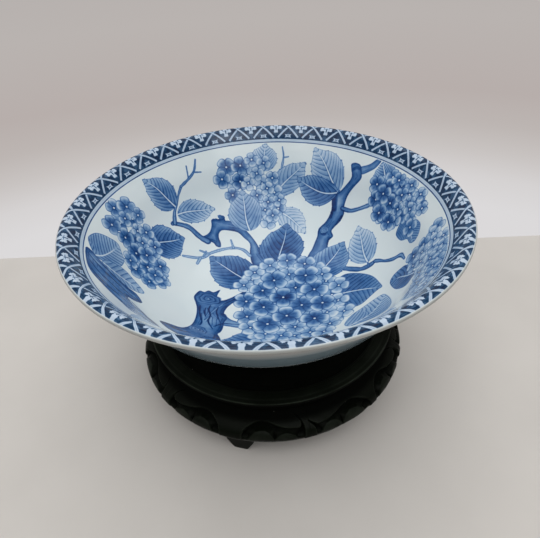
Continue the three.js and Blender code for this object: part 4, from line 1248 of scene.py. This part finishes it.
def wood_material(name, dark, mid, wear_and_sheen_colour, rough_lo, rough_hi, radial=True):
    m, nt, bsdf = new_material(name)
    tc = node(nt, "ShaderNodeTexCoord").outputs["Object"]
    stretch = node(nt, "ShaderNodeMapping")
    stretch.inputs["Scale"].default_value = (18.0, 150.0, 150.0) if not radial else (70.0, 70.0, 260.0)
    nt.links.new(tc, stretch.inputs["Vector"])
    grain = noise(nt, stretch.outputs[0], 1.0, 6.0, 0.65)
    cloud = noise(nt, tc, 55.0, 4.0, 0.6)
    fine = noise(nt, tc, 1400.0, 2.0, 0.6)
    base = ramp(nt, [(0.30, dark), (0.72, mid)])
    nt.links.new(math_node(nt, "MULTIPLY", math_node(nt, "ADD", grain, cloud), 0.5), base.inputs["Fac"])
    edge = attribute(nt, "edge")
    hollow = attribute(nt, "hollow")
    # paler on worn edges, and painted sheen where the edge attribute marks lit faces
    wear_and_sheen = math_node(nt, "MULTIPLY", edge, map_range(nt, cloud, 0.35, 0.65, 0.30, 1.0), clamp=True)
    col = mix_color(nt, wear_and_sheen, base.outputs["Color"], wear_and_sheen_colour)
    # painted shade: darker where the hollow attribute marks recesses and faces in shade
    col = mix_color(nt, math_node(nt, "MULTIPLY", hollow, 0.90, clamp=True), col, (dark[0] * 0.4, dark[1] * 0.4, dark[2] * 0.4, 1.0))
    # grey dust specks
    dust = node(nt, "ShaderNodeTexVoronoi")
    dust.inputs["Scale"].default_value = 170.0
    nt.links.new(tc, dust.inputs["Vector"])
    pick = map_range(nt, noise(nt, tc, 90.0, 1.0), 0.60, 0.66, 0.0, 1.0)
    dust_mask = math_node(nt, "MULTIPLY", map_range(nt, dust.outputs["Distance"], 0.030, 0.052, 0.55, 0.0), pick, clamp=True)
    col = mix_color(nt, dust_mask, col, srgb(150, 150, 142))
    film = math_node(nt, "MULTIPLY", map_range(nt, fine, 0.42, 0.75, 0.0, 0.35), map_range(nt, cloud, 0.45, 0.70, 0.0, 0.12))
    col = mix_color(nt, film, col, srgb(58, 62, 56))
    nt.links.new(col, bsdf.inputs["Base Color"])
    rough = map_range(nt, math_node(nt, "ADD", cloud, math_node(nt, "MULTIPLY", fine, 0.5)), 0.5, 1.1, rough_lo, rough_hi)
    rough = math_node(nt, "ADD", rough, math_node(nt, "MULTIPLY", hollow, 0.40), clamp=True)
    nt.links.new(rough, bsdf.inputs["Roughness"])
    bsdf.inputs["Specular IOR Level"].default_value = 0.05
    bump = node(nt, "ShaderNodeBump")
    bump.inputs["Strength"].default_value = 0.10
    bump.inputs["Distance"].default_value = 0.0004
    nt.links.new(math_node(nt, "ADD", grain, math_node(nt, "MULTIPLY", fine, 0.4)), bump.inputs["Height"])
    nt.links.new(bump.outputs[0], bsdf.inputs["Normal"])
    return m


black_wood = wood_material("black_stained_wood", srgb(3, 6, 2), srgb(8, 12, 6), srgb(46, 52, 44), 0.34, 0.50)
for ob in belt + [collar, board]:
    ob.data.materials.append(black_wood)

plain_wood = wood_material("plain_dowel_wood", srgb(120, 88, 56), srgb(176, 138, 94), srgb(190, 152, 108), 0.55, 0.75, radial=False)
for i in (1, 2, 3):
    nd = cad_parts[f"foot_dowel_{i}"]
    nd.data.materials.clear()
    nd.data.materials.append(plain_wood)

# ------------------------------------------------------------------ camera
F_PX, ELEV, DIST, ROLL, TX, TY = 480.992, 0.661549777, 2.41480969, 0.0560571461, -0.0280807658, 0.338289278
right = Vector((1, 0, 0))
up = Vector((0, math.sin(ELEV), math.cos(ELEV)))
fwd = Vector((0, math.cos(ELEV), -math.sin(ELEV)))
c, s = math.cos(ROLL), math.sin(ROLL)
right2 = c * right - s * up
up2 = s * right + c * up
cam_data = bpy.data.cameras.new("camera")
cam_data.sensor_width = 36.0
cam_data.lens = 36.0 * F_PX / 540.0
cam_data.clip_start = 0.01
cam = bpy.data.objects.new("camera", cam_data)
place = Vector((0, 0, RIM_Z)) + RIM * (-TX * right2 - TY * up2 - DIST * fwd)
cam.matrix_world = Matrix(((right2.x, up2.x, -fwd.x, place.x), (right2.y, up2.y, -fwd.y, place.y), (right2.z, up2.z, -fwd.z, place.z), (0, 0, 0, 1)))
bpy.context.scene.collection.objects.link(cam)
bpy.context.scene.camera = cam

# ------------------------------------------------------------------ stage and light
floor_me = bpy.data.meshes.new("floor")
floor_me.from_pydata([(-1.6, -1.6, 0), (1.6, -1.6, 0), (1.6, 0.11, 0), (-1.6, 0.18, 0)], [], [(0, 1, 2, 3)])
floor = bpy.data.objects.new("floor", floor_me)
bpy.context.scene.collection.objects.link(floor)
m, nt, bsdf = new_material("pale_floor")
tc = node(nt, "ShaderNodeTexCoord").outputs["Object"]
tone = ramp(nt, [(0.3, srgb(208, 204, 199)), (0.7, srgb(216, 212, 207))])
nt.links.new(noise(nt, tc, 9.0, 4.0), tone.inputs["Fac"])
nt.links.new(tone.outputs["Color"], bsdf.inputs["Base Color"])
bsdf.inputs["Roughness"].default_value = 0.7
bsdf.inputs["Specular IOR Level"].default_value = 0.25
floor_me.materials.append(m)

world = bpy.data.worlds.new("world")
bpy.context.scene.world = world
world.use_nodes = True
wn = world.node_tree
wn.nodes.clear()
w_out = wn.nodes.new("ShaderNodeOutputWorld")
w_bg = wn.nodes.new("ShaderNodeBackground")
w_tc = wn.nodes.new("ShaderNodeTexCoord")
w_sep = wn.nodes.new("ShaderNodeSeparateXYZ")
w_ramp = ramp(wn, [(0.0, srgb(219, 217, 218)), (0.258, srgb(219, 217, 218)), (0.282, srgb(213, 210, 210)), (0.303, srgb(200, 195, 193)), (0.326, srgb(188, 181, 178)),
                   (0.352, srgb(183, 174, 171)), (0.41, srgb(185, 179, 176)), (0.55, srgb(176, 172, 170)), (1.0, srgb(196, 195, 194))])
wn.links.new(w_tc.outputs["Generated"], w_sep.inputs[0])
wn.links.new(map_range(wn, w_sep.outputs["Z"], -1.0, 1.0, 0.0, 1.0), w_ramp.inputs["Fac"])
# the room in front of the table is dim
front = map_range(wn, w_sep.outputs["Y"], -0.75, 0.10, 1.0, 0.0)
above = map_range(wn, w_sep.outputs["Z"], 0.70, 0.15, 0.0, 1.0)
dim = math_node(wn, "MULTIPLY", front, above, clamp=True)
w_col = mix_color(wn, dim, w_ramp.outputs["Color"], srgb(52, 53, 52))
wn.links.new(w_col, w_bg.inputs["Color"])
w_bg.inputs["Strength"].default_value = 1.0
wn.links.new(w_bg.outputs[0], w_out.inputs["Surface"])


def area_light(name, azimuth, elevation, distance, size_x, size_y, energy, color=(1, 1, 1), target=(0, 0, 0.08)):
    data = bpy.data.lights.new(name, "AREA")
    data.shape = "RECTANGLE"
    data.size, data.size_y = size_x, size_y
    data.energy = energy
    data.color = color
    ob = bpy.data.objects.new(name, data)
    az, el = math.radians(azimuth), math.radians(elevation)
    d = Vector((math.cos(el) * math.cos(az), math.cos(el) * math.sin(az), math.sin(el)))
    ob.location = Vector(target) + d * distance
    ob.rotation_euler = d.to_track_quat("Z", "Y").to_euler()
    bpy.context.scene.collection.objects.link(ob)
    return ob


area_light("overhead", 92, 68, 1.6, 1.5, 1.1, 5.4, (1.0, 0.99, 0.98))
area_light("ceiling_front", 268, 74, 1.8, 1.4, 0.9, 6.3, (1.0, 0.99, 0.98))
area_light("window_front", 291, 51, 1.9, 0.90, 1.00, 6.0, (0.98, 0.99, 1.0))
area_light("window_left", 215, 50, 1.9, 0.90, 0.90, 2.0, (0.98, 0.99, 1.0))

vs = bpy.context.scene.view_settings
vs.view_transform = "Standard"
vs.look = "None"
vs.exposure = 0.0
vs.gamma = 1.0
